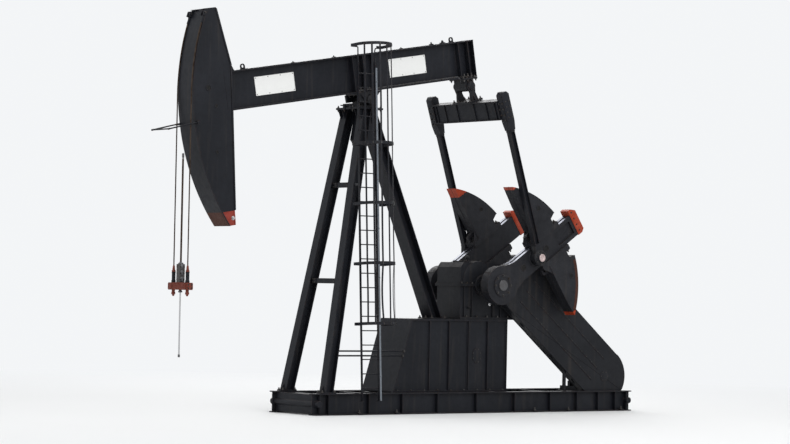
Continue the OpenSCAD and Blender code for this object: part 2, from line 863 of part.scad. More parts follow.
module carrier_bar() {
    color("#b3301f") difference() {
        union() {
            translate([-rod_arm - 70, -carrier_l / 2, carrier_z - carrier_h / 2]) cube([140, carrier_l, carrier_h]);
            both_sides() translate([-rod_arm, rope_y, carrier_z - carrier_h]) cylinder(h = 3 * carrier_h, r = 34);
        }
        translate([-rod_arm, 0, carrier_z - past]) cylinder(h = 2 * past, r = rod_r + 1);
        both_sides() translate([-rod_arm, rope_y, carrier_z]) cylinder(h = 5 * past, r = rope_r);
    }
}

module rod_clamp() {
    color("#55585b") difference() {
        translate([-rod_arm - 62, -62, carrier_z + carrier_h / 2]) cube([124, 124, 380]);
        translate([-rod_arm, 0, carrier_z]) cylinder(h = 600, r = rod_r);
    }
}

module polished_rod() {
    color("#9a9c9e") translate([-rod_arm, 0, rod_low]) cylinder(h = rod_high - rod_low, r = rod_r);
}

skid_runners();
skid_cross_members();
pedestal();
tie_rails();
front_leg_near();
front_leg_far();
rear_leg();
post_gusset();
post_bars();
post_cap();
centre_bearing();
ladder();
ladder_brackets();
cage_hoops();
cage_bars();
gear_reducer();
belt_guard();
motor();
brake();
walking_beam();
beam_saddle();
horsehead();
head_tip();
rope_guide();
name_plates();
lifting_eyes();
tail_bearing();
head_ropes();
equalizer();
equalizer_yoke();
pitman_near();
pitman_far();
wrist_bearings();
crankshaft();
crank_near();
crank_far();
crank_caps();
weight_near_upper();
weight_near_lower();
weight_far_upper();
weight_far_lower();
hanger_ropes();
carrier_bar();
rod_clamp();
polished_rod();
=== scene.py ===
"""Finishes, bolts, ropes, seams and fittings for the beam pumping unit."""

import math
import random

import bmesh
import bpy
from mathutils import Matrix, Vector


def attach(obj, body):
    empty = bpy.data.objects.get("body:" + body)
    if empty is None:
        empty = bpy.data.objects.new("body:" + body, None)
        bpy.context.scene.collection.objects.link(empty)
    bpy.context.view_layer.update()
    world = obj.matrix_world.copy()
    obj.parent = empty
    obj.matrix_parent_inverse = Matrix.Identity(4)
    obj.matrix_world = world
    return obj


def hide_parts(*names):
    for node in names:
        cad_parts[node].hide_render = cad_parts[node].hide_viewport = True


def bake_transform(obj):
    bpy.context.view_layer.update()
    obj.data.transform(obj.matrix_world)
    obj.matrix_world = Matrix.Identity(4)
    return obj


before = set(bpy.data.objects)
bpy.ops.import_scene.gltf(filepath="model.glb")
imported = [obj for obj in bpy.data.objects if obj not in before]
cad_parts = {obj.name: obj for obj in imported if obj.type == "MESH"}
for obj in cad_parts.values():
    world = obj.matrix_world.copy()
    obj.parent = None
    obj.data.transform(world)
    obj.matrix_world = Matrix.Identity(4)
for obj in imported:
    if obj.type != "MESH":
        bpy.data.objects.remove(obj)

bl_info = {
    "name": "Beam Pumping Unit",
    "version": (1, 0, 0),
    "blender": (4, 5, 0),
    "location": "3D View > Sidebar > Pumping Unit",
    "description": "Builds the finishes and fittings of a beam pumping unit round its packed frame",
    "category": "Object",
}

WORLD = Matrix.Identity(4)
BOTH = (-1, 1)
ALONG_X, ALONG_Y = (1, 0, 0), (0, 1, 0)
UP, DOWN = (0, 0, 1), (0, 0, -1)

# centres of the tail pin and of the wrist pin at rest, and of the crankshaft
TAIL = Vector((2.793631, 0.0, 7.232544))
WRIST = Vector((4.007428, 0.0, 3.439916))
PITMAN_LENGTH = (TAIL - WRIST).length
SHAFT = (3.08, 0, 2.812)
PIVOT_HEIGHT = 6.75
SKID_TOP = 0.46
LEG_FOOT, LEG_TOP = Vector((-1.37, 0.715, SKID_TOP)), Vector((-0.185, 0.29, 6.54))


def lean(origin, degrees):
    """A local frame at origin whose X axis is turned up by degrees."""
    return Matrix.Translation(origin) @ Matrix.Rotation(-math.radians(degrees), 4, "Y")


BEAM = lean((0, 0, PIVOT_HEIGHT), 9.8)
PITMAN = lean(TAIL, math.degrees(math.atan2(WRIST.x - TAIL.x, TAIL.z - WRIST.z)))
WRIST_END = PITMAN @ Matrix.Translation((0, 0, -PITMAN_LENGTH))
CRANK = lean(SHAFT, 34.1)
GUIDE = BEAM @ Matrix.Translation((-4.596, 0, 0.05)) @ Matrix.Rotation(math.radians(-4), 4, "Y")
LADDER = Matrix.Translation((-0.415, -0.998, SKID_TOP)) @ Matrix.Rotation(math.radians(-3.2), 4, "X")
REDUCER = Matrix.Translation(SHAFT)
MOTOR = Matrix.Translation((6.5, 0, 0.79))

# the ropes: where they hang, how far from the middle plane, and their radius on the head's face
ROD_X = -4.62
ROPE_Y = 0.26
FACE_RADIUS = 4.61
FACE_TOP = 151.1
# the beam's section: the insides of its flanges and its top
WEB_LOW, WEB_HIGH, BEAM_TOP = 0.214, 0.98, 1.01
# the ladder's rungs and cage
RUNG_FOOT, RUNG_STEP, RUNGS = 0.115, 0.305, 23
HOOPS = (1.44, 2.715, 3.99, 5.265, 7.38)
HOOP_WIDTH = 0.064
CAGE_Y, CAGE_REACH, CAGE_TOP = -0.27, 0.3852, 7.444
# middle of a crank's and of a pitman's thickness
CRANK_MID = 1.0015
PITMAN_Y = 1.238
# the brake on the reducer's fast shaft
BRAKE = REDUCER @ Matrix.Translation((0.75, 0, 0.14))


# ------------------------------------------------------------------ settings


def color_setting(name, description, default):
    return bpy.props.FloatVectorProperty(
        name=name, description=description, subtype="COLOR", size=3, min=0, max=1, default=default)


def share_setting(name, description):
    return bpy.props.FloatProperty(
        name=name, description=description, subtype="FACTOR", min=0, max=1, default=0.5)


def length_setting(name, description, low, high, default):
    return bpy.props.FloatProperty(
        name=name, description=description, unit="LENGTH", min=low, max=high, default=default)


class UnitFinishes(bpy.types.PropertyGroup):
    """Colours and wear of the finishes."""

    frame_black: color_setting("Frame Paint", "Satin paint of the welded structure", (0.0095, 0.0105, 0.0140))
    machine_black: color_setting(
        "Machine Paint", "Paint of the reducer, motor and bearings", (0.0110, 0.0118, 0.0145))
    casting_black: color_setting("Casting Paint", "Paint of the cranks and weights", (0.0125, 0.0130, 0.0160))
    safety_orange: color_setting("Orange", "Paint of the crank ends and fin tips", (0.31, 0.040, 0.014))
    safety_red: color_setting("Red", "Paint of the head's lower tip", (0.23, 0.030, 0.018))
    carrier_red: color_setting("Carrier Red", "Rusty paint of the carrier bar", (0.14, 0.030, 0.018))
    plate_white: color_setting("Plate White", "Enamel of the bare plates on the beam", (0.82, 0.82, 0.80))
    # the streaks' colour, also used to make the upward faces lighter
    dust: color_setting("Dust", "Colour of settled dust", (0.115, 0.092, 0.070))
    rust: color_setting("Rust", "Colour of worn edges", (0.070, 0.024, 0.011))
    wear: share_setting("Wear", "Amount of worn and rusted edges")
    dirt: share_setting("Dirt", "Amount of dust and streaks")


class UnitSizes(bpy.types.PropertyGroup):
    """Sizes of the small repeated pieces."""

    bolt: length_setting("Bolt Head", "Radius of a usual structural bolt head", 0.008, 0.04, 0.019)
    anchor: length_setting("Heavy Bolt Head", "Radius of a heavy bolt head", 0.015, 0.06, 0.031)
    weld: length_setting("Weld Bead", "Radius of a weld bead", 0.003, 0.015, 0.008)
    rope: length_setting("Rope Radius", "Radius of the hanger's wire ropes", 0.01, 0.02, 0.014)
    rope_lay: length_setting("Rope Lay", "Length over which a strand turns once", 0.1, 0.4, 0.19)
    fins: bpy.props.IntProperty(
        name="Motor Fins", description="Number of cooling fins round the motor",
        min=12, max=72, default=44)


def finishes():
    return bpy.context.scene.unit_finishes


def sizes():
    return bpy.context.scene.unit_sizes


# --------------------------------------------------------------- node groups


class Tree:
    """Adds and links nodes of one node tree."""

    def __init__(self, tree):
        self.tree = tree

    def add(self, kind, **values):
        """A new node; a value whose key starts with in_ is the constant of that input."""
        node = self.tree.nodes.new(kind)
        for key, value in values.items():
            if key.startswith("in_"):
                node.inputs[key[3:]].default_value = value
            else:
                setattr(node, key, value)
        return node

    def link(self, out, into):
        self.tree.links.new(out, into)

    def feed(self, spots, values):
        """Links each value into its input, or sets it there when it is a constant."""
        for spot, value in zip(spots, values):
            if isinstance(value, (int, float, tuple)):
                spot.default_value = value
            else:
                self.link(value, spot)

    def math(self, operation, a, b=0.5, clamp=False):
        node = self.add("ShaderNodeMath", operation=operation, use_clamp=clamp)
        self.feed(node.inputs, (a, b))
        return node.outputs[0]

    def times(self, a, b):
        return self.math("MULTIPLY", a, b)

    def plus(self, a, b, clamp=False):
        return self.math("ADD", a, b, clamp)

    def spread(self, value, low, high, out_low=0.0, out_high=1.0):
        node = self.add("ShaderNodeMapRange")
        names = ("Value", "From Min", "From Max", "To Min", "To Max")
        self.feed([node.inputs[n] for n in names], (value, low, high, out_low, out_high))
        return node.outputs["Result"]

    def mix(self, factor, a, b):
        node = self.add("ShaderNodeMix", data_type="RGBA")
        self.feed((node.inputs[0], node.inputs[6], node.inputs[7]), (factor, a, b))
        return node.outputs[2]

    def shifted(self, color, value, saturation=1.0):
        node = self.add("ShaderNodeHueSaturation", in_Value=value, in_Saturation=saturation)
        self.link(color, node.inputs["Color"])
        return node.outputs["Color"]

    def noise(self, where, scale, detail=4.0, roughness=0.55):
        node = self.add("ShaderNodeTexNoise", in_Scale=scale, in_Detail=detail, in_Roughness=roughness)
        self.link(where, node.inputs["Vector"])
        return node.outputs["Fac"]

    def stretched(self, where, scale):
        node = self.add("ShaderNodeMapping")
        self.feed((node.inputs["Vector"], node.inputs["Scale"]), (where, scale))
        return node.outputs["Vector"]

    def shader_mix(self, factor, one, two, output):
        """Mixes two shaders into the surface of an output node."""
        node = self.add("ShaderNodeMixShader")
        for spot, value in zip(node.inputs, (factor, one.outputs[0], two.outputs[0])):
            self.link(value, spot)
        self.link(node.outputs[0], self.tree.nodes[output].inputs["Surface"])


def group_start(name, ins, outs, kind="ShaderNodeTree"):
    """A new node group with its inputs and outputs: its Tree and the sockets at both of its ends."""
    tree = bpy.data.node_groups.new(name, kind)
    for label, socket, value in ins:
        spot = tree.interface.new_socket(label, in_out="INPUT", socket_type="NodeSocket" + socket)
        if value is not None:
            spot.default_value = value
    for label, socket in outs:
        tree.interface.new_socket(label, in_out="OUTPUT", socket_type="NodeSocket" + socket)
    t = Tree(tree)
    return t, t.add("NodeGroupInput").outputs, t.add("NodeGroupOutput").inputs


SURFACE = [("Color", "Color"), ("Roughness", "Float"), ("Height", "Float")]


def weathered_paint_group(name):
    """Paint that fades in patches, with worn edges, rain streaks, and faces that turn up made lighter in
    patches.
    """
    t, gin, gout = group_start(
        name,
        [("Paint", "Color", (0.02, 0.02, 0.03, 1)), ("Rust", "Color", (0.1, 0.04, 0.02, 1)),
         ("Dust", "Color", (0.2, 0.15, 0.1, 1)), ("Wear", "Float", 0.5), ("Dirt", "Float", 0.5),
         ("Gloss", "Float", 0.4), ("Grain", "Float", 0.3), ("Fade", "Float", 0.5), ("Mottle", "Float", 0.6)],
        SURFACE)
    place = t.add("ShaderNodeTexCoord").outputs["Object"]
    normal = t.add("ShaderNodeNewGeometry").outputs["Normal"]
    # patches of fading
    broad = t.noise(place, 1.1, 5.0, 0.6)
    fine = t.noise(place, 9.0, 6.0, 0.65)
    faded = t.times(t.spread(broad, 0.38, 0.68), gin["Fade"])
    color = t.mix(faded, gin["Paint"], t.shifted(gin["Paint"], 1.9, 0.8))
    mottled = t.times(t.spread(fine, 0.44, 0.66), gin["Mottle"])
    color = t.mix(mottled, color, t.shifted(color, 0.62, 1.1))
    # rain streaks run down
    runs = t.noise(t.stretched(place, (9.0, 9.0, 0.55)), 1.0, 5.0, 0.6)
    facing = t.add("ShaderNodeSeparateXYZ")
    t.link(normal, facing.inputs[0])
    side_on = t.math("SUBTRACT", 1.0, t.math("ABSOLUTE", facing.outputs["Z"]))
    streak = t.times(t.times(t.spread(runs, 0.54, 0.72), side_on), gin["Dirt"])
    color = t.mix(t.times(streak, 0.36), color, gin["Dust"])
    # what faces up turns lighter in patches, mixed towards the dust colour
    upward = t.spread(facing.outputs["Z"], 0.35, 0.98)
    lighter_upward = t.times(upward, t.spread(t.noise(place, 4.5, 6.0, 0.7), 0.34, 0.66, 0.15, 1.0))
    lighter_upward = t.times(lighter_upward, gin["Dirt"])
    color = t.mix(t.times(lighter_upward, 0.55), color, gin["Dust"])
    # edges lose their paint
    round_off = t.add("ShaderNodeBevel", samples=4, in_Radius=0.012)
    edge = t.add("ShaderNodeVectorMath", operation="DOT_PRODUCT")
    t.feed(edge.inputs, (round_off.outputs["Normal"], normal))
    bare = t.spread(edge.outputs["Value"], 0.99, 0.86)
    broken = t.spread(t.noise(place, 16.0, 8.0, 0.75), 0.46, 0.6)
    bare = t.math("MULTIPLY", t.times(bare, broken), gin["Wear"], clamp=True)
    color = t.mix(bare, color, gin["Rust"])
    # small chips away from the edges
    spots = t.add("ShaderNodeTexVoronoi", in_Scale=7.0, in_Randomness=1.0)
    t.link(place, spots.inputs["Vector"])
    chip = t.times(t.spread(spots.outputs["Distance"], 0.085, 0.05), t.spread(broad, 0.5, 0.62))
    chip = t.math("MULTIPLY", chip, gin["Wear"], clamp=True)
    t.link(t.mix(chip, color, gin["Rust"]), gout["Color"])
    rough = t.plus(gin["Gloss"], t.spread(fine, 0.3, 0.7, -0.06, 0.08))
    rough = t.plus(rough, t.times(lighter_upward, 0.3))
    rough = t.plus(rough, t.times(t.plus(bare, chip), 0.35), clamp=True)
    t.link(rough, gout["Roughness"])
    pebble = t.noise(place, 260.0, 2.0, 0.5)
    rolled = t.noise(place, 38.0, 4.0, 0.6)
    height = t.plus(t.times(pebble, gin["Grain"]), t.times(rolled, 0.35))
    t.link(t.math("SUBTRACT", height, t.times(t.plus(bare, chip), 0.5)), gout["Height"])
    return t.tree


def bare_steel_group(name):
    """Steel with fine turning marks, stains and grease."""
    t, gin, gout = group_start(
        name,
        [("Steel", "Color", (0.5, 0.5, 0.5, 1)), ("Stain", "Color", (0.1, 0.06, 0.04, 1)),
         ("Stained", "Float", 0.4), ("Gloss", "Float", 0.3), ("Marks", "Vector", (1.0, 1.0, 60.0))],
        SURFACE)
    place = t.add("ShaderNodeTexCoord").outputs["Object"]
    lines = t.noise(t.stretched(place, gin["Marks"]), 6.0, 5.0, 0.6)
    blots = t.noise(place, 7.0, 6.0, 0.7)
    spotted = t.times(t.spread(blots, 0.45, 0.66), gin["Stained"])
    color = t.mix(spotted, gin["Steel"], gin["Stain"])
    color = t.mix(t.spread(lines, 0.4, 0.65, 0.0, 0.5), color, t.shifted(color, 0.7))
    t.link(color, gout["Color"])
    rough = t.plus(gin["Gloss"], t.times(spotted, 0.4))
    rough = t.plus(rough, t.spread(lines, 0.3, 0.7, -0.05, 0.08), clamp=True)
    t.link(rough, gout["Roughness"])
    t.link(lines, gout["Height"])
    return t.tree


# ----------------------------------------------------------------- materials


PAINT_SHINE = 0.13


def material_start(name):
    material = bpy.data.materials.new(name)
    material.use_nodes = True
    return material, Tree(material.node_tree), material.node_tree.nodes["Principled BSDF"]


def surfaced(name, build, group_name, values, bump, distance):
    """A material whose colour, roughness and bump come from a shared node group."""
    material, t, shader = material_start(name)
    group = t.add("ShaderNodeGroup")
    group.node_tree = bpy.data.node_groups.get(group_name) or build(group_name)
    for label, value in values.items():
        group.inputs[label].default_value = value
    t.link(group.outputs["Color"], shader.inputs["Base Color"])
    t.link(group.outputs["Roughness"], shader.inputs["Roughness"])
    relief = t.add("ShaderNodeBump", in_Strength=bump, in_Distance=distance)
    t.link(group.outputs["Height"], relief.inputs["Height"])
    t.link(relief.outputs["Normal"], shader.inputs["Normal"])
    return material, shader


def paint(name, color, gloss, grain, wear=1.0, dirt=1.0, fade=0.5, bump=0.25, mottle=0.5, rust=None):
    """A weathered paint with its own colour and wear."""
    f = finishes()
    values = {
        "Paint": (*color, 1), "Rust": (*(rust or f.rust), 1), "Dust": (*f.dust, 1), "Wear": f.wear * wear,
        "Dirt": f.dirt * dirt, "Gloss": gloss, "Grain": grain, "Fade": fade, "Mottle": mottle}
    material, shader = surfaced(name, weathered_paint_group, "Weathered paint", values, bump, 0.004)
    shader.inputs["Specular IOR Level"].default_value = PAINT_SHINE
    return material


def steel(name, color, stain, stained, gloss, marks):
    """Bare metal, drawn or turned across the direction in which marks is greatest."""
    values = {"Steel": (*color, 1), "Stain": (*stain, 1), "Stained": stained, "Gloss": gloss, "Marks": marks}
    material, shader = surfaced(name, bare_steel_group, "Bare steel", values, 0.12, 0.001)
    shader.inputs["Metallic"].default_value = 1.0
    return material


def look(key):
    """The finish of that key, made when it is first asked for."""
    f = finishes()
    make, name, *values = {
        "frame_paint": (paint, "Frame paint", f.frame_black, 0.40, 0.25, 1.0, 0.6),
        "machine_paint": (paint, "Machine paint", f.machine_black, 0.42, 0.5, 0.9, 0.7),
        "casting_paint": (paint, "Casting paint", f.casting_black, 0.48, 1.3, 0.9, 0.7, 0.6, 0.5),
        "weight_paint": (paint, "Weight paint", f.casting_black, 0.5, 1.6, 1.0, 0.7, 0.8, 0.6),
        "orange_paint": (paint, "Orange paint", f.safety_orange, 0.42, 0.6, 0.8, 0.35, 0.25),
        "red_paint": (paint, "Red paint", f.safety_red, 0.45, 0.5, 0.8, 0.4, 0.3),
        "carrier_paint": (paint, "Carrier paint", f.carrier_red, 0.55, 0.8, 1.6, 0.7, 0.5),
        "plate_enamel": (paint, "Plate enamel", f.plate_white, 0.3, 0.05, 0.3, 0.12, 0.0, 0.04, 0.03,
                         (0.3, 0.2, 0.14)),
        "grey_paint": (paint, "Pale grey paint", (0.17, 0.19, 0.215), 0.34, 0.2, 0.7, 0.5, 0.3),
        "weld_paint": (paint, "Weld paint", [c * 1.2 for c in f.frame_black], 0.42, 1.0, 0.4, 0.4),
        # the rim's rust colour, which also serves as the painted shade on the front of the head's tip
        "rim_rust": (paint, "Rust streaked rim", (0.045, 0.015, 0.009), 0.6, 1.4, 1.0, 0.8, 0.8),
        # painted shade: flat, matte near-black discs that stand in holes in place of the shade inside them
        "rubber": (paint, "Black rubber", (0.012, 0.012, 0.012), 0.7, 0.4, 0.0, 0.7, 0.2),
        "rope_steel": (steel, "Rope steel", (0.060, 0.044, 0.034), (0.024, 0.013, 0.009), 0.7, 0.5,
                       (30, 30, 6)),
        "rod_steel": (steel, "Polished rod steel", (0.52, 0.52, 0.53), (0.3, 0.26, 0.2), 0.25, 0.16,
                      (1, 1, 40)),
        "shaft_steel": (steel, "Shaft steel", (0.11, 0.11, 0.115), (0.04, 0.024, 0.015), 0.6, 0.36,
                        (8, 60, 8)),
        "bolt_steel": (steel, "Bolt steel", (0.085, 0.082, 0.080), (0.034, 0.019, 0.012), 0.7, 0.42,
                       (20, 20, 20)),
        # machined steel, its blue-grey tint a painted reflection of the sky
        "rail_steel_sky_tint": (steel, "Machined rail", (0.125, 0.132, 0.165), (0.07, 0.068, 0.082), 0.35, 0.28,
                       (4, 50, 4)),
        "pin_steel": (steel, "Wrist pin steel", (0.62, 0.50, 0.49), (0.32, 0.2, 0.17), 0.5, 0.34,
                      (40, 4, 40)),
    }[key]
    return bpy.data.materials.get(name) or make(name, *values)


# the frame's slot of each finish that isn't named after one
SLOTS = {
    "weld_paint": "frame_paint", "grey_paint": "frame_paint", "carrier_paint": "red_paint",
    "plate_enamel": "white_plate", "weight_paint": "casting_paint", "bolt_steel": "shaft_steel",
    "rail_steel_sky_tint": "shaft_steel",
}


# -------------------------------------------------------------- mesh shaping


def across(axis):
    """Two directions square to an axis and to each other."""
    one = axis.orthogonal().normalized()
    return one, axis.cross(one)


class Shape:
    """Collects closed forms for one piece. Sizes are metres in a local frame."""

    def __init__(self, place=WORLD):
        self.bm = bmesh.new()
        self.place = place

    def vert(self, p):
        return self.bm.verts.new(self.place @ Vector(p))

    def loft(self, rings, closed=False):
        """Joins rings of equal length into one skin with end caps."""
        made = [[self.vert(p) for p in ring] for ring in rings]
        count = len(made[0])
        pairs = list(zip(made, made[1:]))
        if closed:
            pairs.append((made[-1], made[0]))
        for one, two in pairs:
            for i in range(count):
                j = (i + 1) % count
                self.bm.faces.new((one[i], one[j], two[j], two[i]))
        if not closed:
            self.bm.faces.new(made[0])
            self.bm.faces.new(made[-1])
        return self

    def slab(self, outline, y0, y1):
        """A flat outline in XZ with its thickness along Y, from the lower to the higher y."""
        return self.loft([[(x, y, z) for x, z in outline] for y in sorted((y0, y1))])

    def block(self, low, high):
        """A box between two corners, whose y values may stand in either order."""
        (x0, y0, z0), (x1, y1, z1) = low, high
        y0, y1 = sorted((y0, y1))
        ring = [(x0, y0), (x1, y0), (x1, y1), (x0, y1)]
        return self.loft([[(x, y, z) for x, y in ring] for z in (z0, z1)])

    def turned(self, start, aim, profile, sides=24):
        """Turns a profile of (distance, radius) about the line from start along aim."""
        start, axis = Vector(start), Vector(aim).normalized()
        one, two = across(axis)
        rings = []
        for along, radius in profile:
            centre = start + axis * along
            rings.append([centre + (one * math.cos(t) + two * math.sin(t)) * radius
                          for t in (2 * math.pi * i / sides for i in range(sides))])
        return self.loft(rings)

    def rod(self, a, b, radius, sides=20, chamfer=0.0):
        """A round bar from a to b."""
        aim = Vector(b) - Vector(a)
        length = aim.length
        profile = [(0, radius), (length, radius)]
        if chamfer:
            profile = [(0, radius - chamfer), (chamfer, radius), (length - chamfer, radius),
                       (length, radius - chamfer)]
        return self.turned(a, aim, profile, sides)

    def ring(self, centre, radius, thick, sides=40, corners=10):
        """A torus about the Y axis, whose bar has that many corners."""
        centre, axis = Vector(centre), Vector(ALONG_Y)
        one, two = across(axis)
        rings = []
        for i in range(sides):
            t = 2 * math.pi * i / sides
            out = one * math.cos(t) + two * math.sin(t)
            middle = centre + out * radius
            rings.append([middle + (out * math.cos(s) + axis * math.sin(s)) * thick
                          for s in (2 * math.pi * j / corners for j in range(corners))])
        return self.loft(rings, closed=True)

    def follow(self, path, radius, sides=10, lobes=0, depth=0.0, turns_per_m=0.0):
        """Sweeps a round or lobed section along a path."""
        path = [Vector(p) for p in path]
        rings, run, side = [], 0.0, None
        for i, p in enumerate(path):
            ahead = (path[min(i + 1, len(path) - 1)] - path[max(i - 1, 0)]).normalized()
            if side is None:
                side = ahead.cross(Vector(ALONG_Y))
                if side.length < 1e-3:
                    side = ahead.orthogonal()
            side = (side - ahead * side.dot(ahead)).normalized()
            other = ahead.cross(side)
            if i:
                run += (p - path[i - 1]).length
            turn = 2 * math.pi * turns_per_m * run
            ring = []
            for j in range(sides):
                t = 2 * math.pi * j / sides
                r = radius - depth * (0.5 - 0.5 * math.cos(lobes * t))
                ring.append(p + (side * math.cos(t + turn) + other * math.sin(t + turn)) * r)
            rings.append(ring)
        return self.loft(rings)

    def bead(self, a, b, size=1.0, sides=6):
        """A straight weld bead, size times as thick as the usual one."""
        return self.follow([a, b], sizes().weld * size, sides)

    def rope(self, path):
        """A rope of six strands along a path."""
        s = sizes()
        return self.follow(path, s.rope, 18, 6, 0.0034, 1 / s.rope_lay)

    def done(self, name, finish, body, bevel=0.0, smooth=38.0, slot=None):
        """Turns the forms into a finished object that rides on a body."""
        bmesh.ops.recalc_face_normals(self.bm, faces=self.bm.faces[:])
        mesh = bpy.data.meshes.new(name)
        self.bm.to_mesh(mesh)
        self.bm.free()
        piece = placed(name, mesh)
        if bevel:
            rounding = piece.modifiers.new("Rounding", "BEVEL")
            rounding.width = bevel
            rounding.segments = 2
            rounding.limit_method = "ANGLE"
            rounding.angle_limit = math.radians(50)
            bake(piece)
        return dress(piece, finish, body, slot, smooth)


def placed(name, data):
    """A new object of the scene."""
    obj = bpy.data.objects.new(name, data)
    bpy.context.scene.collection.objects.link(obj)
    return obj


def bake(piece):
    """Replaces a piece's mesh with its evaluated one and drops the modifiers."""
    bpy.context.view_layer.update()
    result = bpy.data.meshes.new_from_object(piece.evaluated_get(bpy.context.evaluated_depsgraph_get()))
    piece.modifiers.clear()
    piece.data = result
    result.name = piece.name


def dress(piece, finish, body, slot, smooth):
    """Gives a piece its finish, shading and body; the slot it works out is not put to use."""
    mesh = piece.data
    mesh.polygons.foreach_set("use_smooth", [True] * len(mesh.polygons))
    mesh.set_sharp_from_angle(angle=math.radians(smooth))
    mesh.materials.clear()
    mesh.materials.append(look(finish))
    if body:
        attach(piece, body)
    slot = slot or SLOTS.get(finish, finish)
    return piece


def arc(centre, radius, start, end, steps):
    """Points (x, z) of an arc, angles in degrees."""
    turns = [math.radians(start + (end - start) * i / steps) for i in range(steps + 1)]
    return [(centre[0] + radius * math.cos(t), centre[1] + radius * math.sin(t)) for t in turns]


def bolt_ring(centre, side, radius, count, start=0.0, tall=1.0):
    """Spots of bolts in a ring about the Y axis, facing side, with its height times tall."""
    x, y, z = centre
    turns = [start + 2 * math.pi * k / count for k in range(count)]
    return [((x + radius * math.cos(t), y, z + radius * tall * math.sin(t)), (0, side, 0)) for t in turns]


# ------------------------------------------------------------ geometry nodes


def instances_start(name, ins):
    """A geometry group with those inputs between its geometry and its material."""
    return group_start(
        name, [("Geometry", "Geometry", None), *ins, ("Material", "Material", None)],
        [("Geometry", "Geometry")], "GeometryNodeTree")


def instances_end(t, gin, gout, points, part, rotation):
    """Stands part on every point and gives the whole its material."""
    put = t.add("GeometryNodeInstanceOnPoints")
    t.feed([put.inputs[n] for n in ("Points", "Instance", "Rotation")], (points, part, rotation))
    real = t.add("GeometryNodeRealizeInstances")
    t.link(put.outputs[0], real.inputs[0])
    finish = t.add("GeometryNodeSetMaterial")
    t.feed((finish.inputs["Geometry"], finish.inputs["Material"]), (real.outputs[0], gin["Material"]))
    t.link(finish.outputs[0], gout[0])
    return t.tree


def aimed(t, vector):
    """A rotation that turns Z to the vector."""
    align = t.add("FunctionNodeAlignRotationToVector", axis="Z")
    t.link(vector, align.inputs["Vector"])
    return align.outputs["Rotation"]


def bolt_tree(name):
    """Puts a hexagon bolt head with its washer and stud end at every point, along the point's aim."""
    t, gin, gout = instances_start(
        name, [("Head Radius", "Float", 0.019), ("Head Height", "Float", 0.014),
               ("Washer Radius", "Float", 0.026), ("Stud Length", "Float", 0.012), ("Seed", "Int", 3)])
    join = t.add("GeometryNodeJoinGeometry")

    def barrel(sides, radius, height, foot):
        """A cylinder of that height that stands on foot."""
        part = t.add("GeometryNodeMeshCylinder", in_Vertices=sides)
        t.feed((part.inputs["Radius"], part.inputs["Depth"]), (radius, height))
        place = t.add("ShaderNodeCombineXYZ")
        t.link(t.plus(foot, t.times(height, 0.5)), place.inputs["Z"])
        move = t.add("GeometryNodeTransform")
        t.feed([move.inputs[n] for n in ("Geometry", "Translation")],
               (part.outputs["Mesh"], place.outputs[0]))
        t.link(move.outputs["Geometry"], join.inputs[0])

    radius, height = gin["Head Radius"], gin["Head Height"]
    washer = t.times(height, 0.25)
    barrel(14, gin["Washer Radius"], washer, 0.0)
    barrel(6, radius, height, washer)
    barrel(10, t.times(radius, 0.55), gin["Stud Length"], t.plus(washer, height))
    aim = t.add("GeometryNodeInputNamedAttribute", data_type="FLOAT_VECTOR", in_Name="aim")
    spin = t.add("FunctionNodeRandomValue", data_type="FLOAT")
    low, high = [s for s in spin.inputs if s.enabled][:2]
    t.feed((low, high, spin.inputs["Seed"]), (0.0, 2 * math.pi, gin["Seed"]))
    turn = t.add("FunctionNodeAxisAngleToRotation", in_Axis=(0, 0, 1))
    t.link([s for s in spin.outputs if s.enabled][0], turn.inputs["Angle"])
    both = t.add("FunctionNodeRotateRotation", rotation_space="LOCAL")
    t.feed((both.inputs["Rotation"], both.inputs["Rotate By"]),
           (aimed(t, aim.outputs["Attribute"]), turn.outputs["Rotation"]))
    return instances_end(t, gin, gout, gin["Geometry"], join.outputs[0], both.outputs["Rotation"])


def fin_tree(name):
    """Stands cooling fins in a ring about the Z axis."""
    t, gin, gout = instances_start(
        name, [("Count", "Int", 44), ("Radius", "Float", 0.24), ("Length", "Float", 0.4),
               ("Height", "Float", 0.03)])
    circle = t.add("GeometryNodeMeshCircle")
    t.feed((circle.inputs["Vertices"], circle.inputs["Radius"]), (gin["Count"], gin["Radius"]))
    size = t.add("ShaderNodeCombineXYZ", in_X=0.006)
    t.feed((size.inputs["Y"], size.inputs["Z"]), (gin["Length"], gin["Height"]))
    fin = t.add("GeometryNodeMeshCube")
    t.link(size.outputs[0], fin.inputs["Size"])
    rotation = aimed(t, t.add("GeometryNodeInputPosition").outputs[0])
    return instances_end(t, gin, gout, circle.outputs["Mesh"], fin.outputs["Mesh"], rotation)


def grown(piece, name, build, values):
    """Runs a Geometry Nodes group on a piece, with values set by the sockets' names, and bakes it."""
    modifier = piece.modifiers.new(name, "NODES")
    modifier.node_group = bpy.data.node_groups.get(name) or build(name)
    ids = {s.name: s.identifier for s in modifier.node_group.interface.items_tree
           if s.item_type == "SOCKET" and s.in_out == "INPUT"}
    for label, value in values.items():
        modifier[ids[label]] = value
    bake(piece)


def bolts(name, spots, body, head, place=WORLD, seed=1, stud=0.5, finish="bolt_steel", slot=None):
    """Bolts at spots, a list of (point, direction), as one mesh on a body."""
    mesh = bpy.data.meshes.new(name)
    mesh.from_pydata([place @ Vector(p) for p, _ in spots], [], [])
    aim = mesh.attributes.new("aim", "FLOAT_VECTOR", "POINT")
    turn = place.to_3x3()
    aim.data.foreach_set("vector", [c for _, d in spots for c in (turn @ Vector(d)).normalized()])
    piece = placed(name, mesh)
    grown(piece, "Bolts", bolt_tree, {
        "Head Radius": head, "Head Height": head * 0.72, "Washer Radius": head * 1.4,
        "Stud Length": head * stud, "Seed": seed, "Material": look(finish)})
    return dress(piece, finish, body, slot, 30.0)


# -------------------------------------------------------------------- pieces


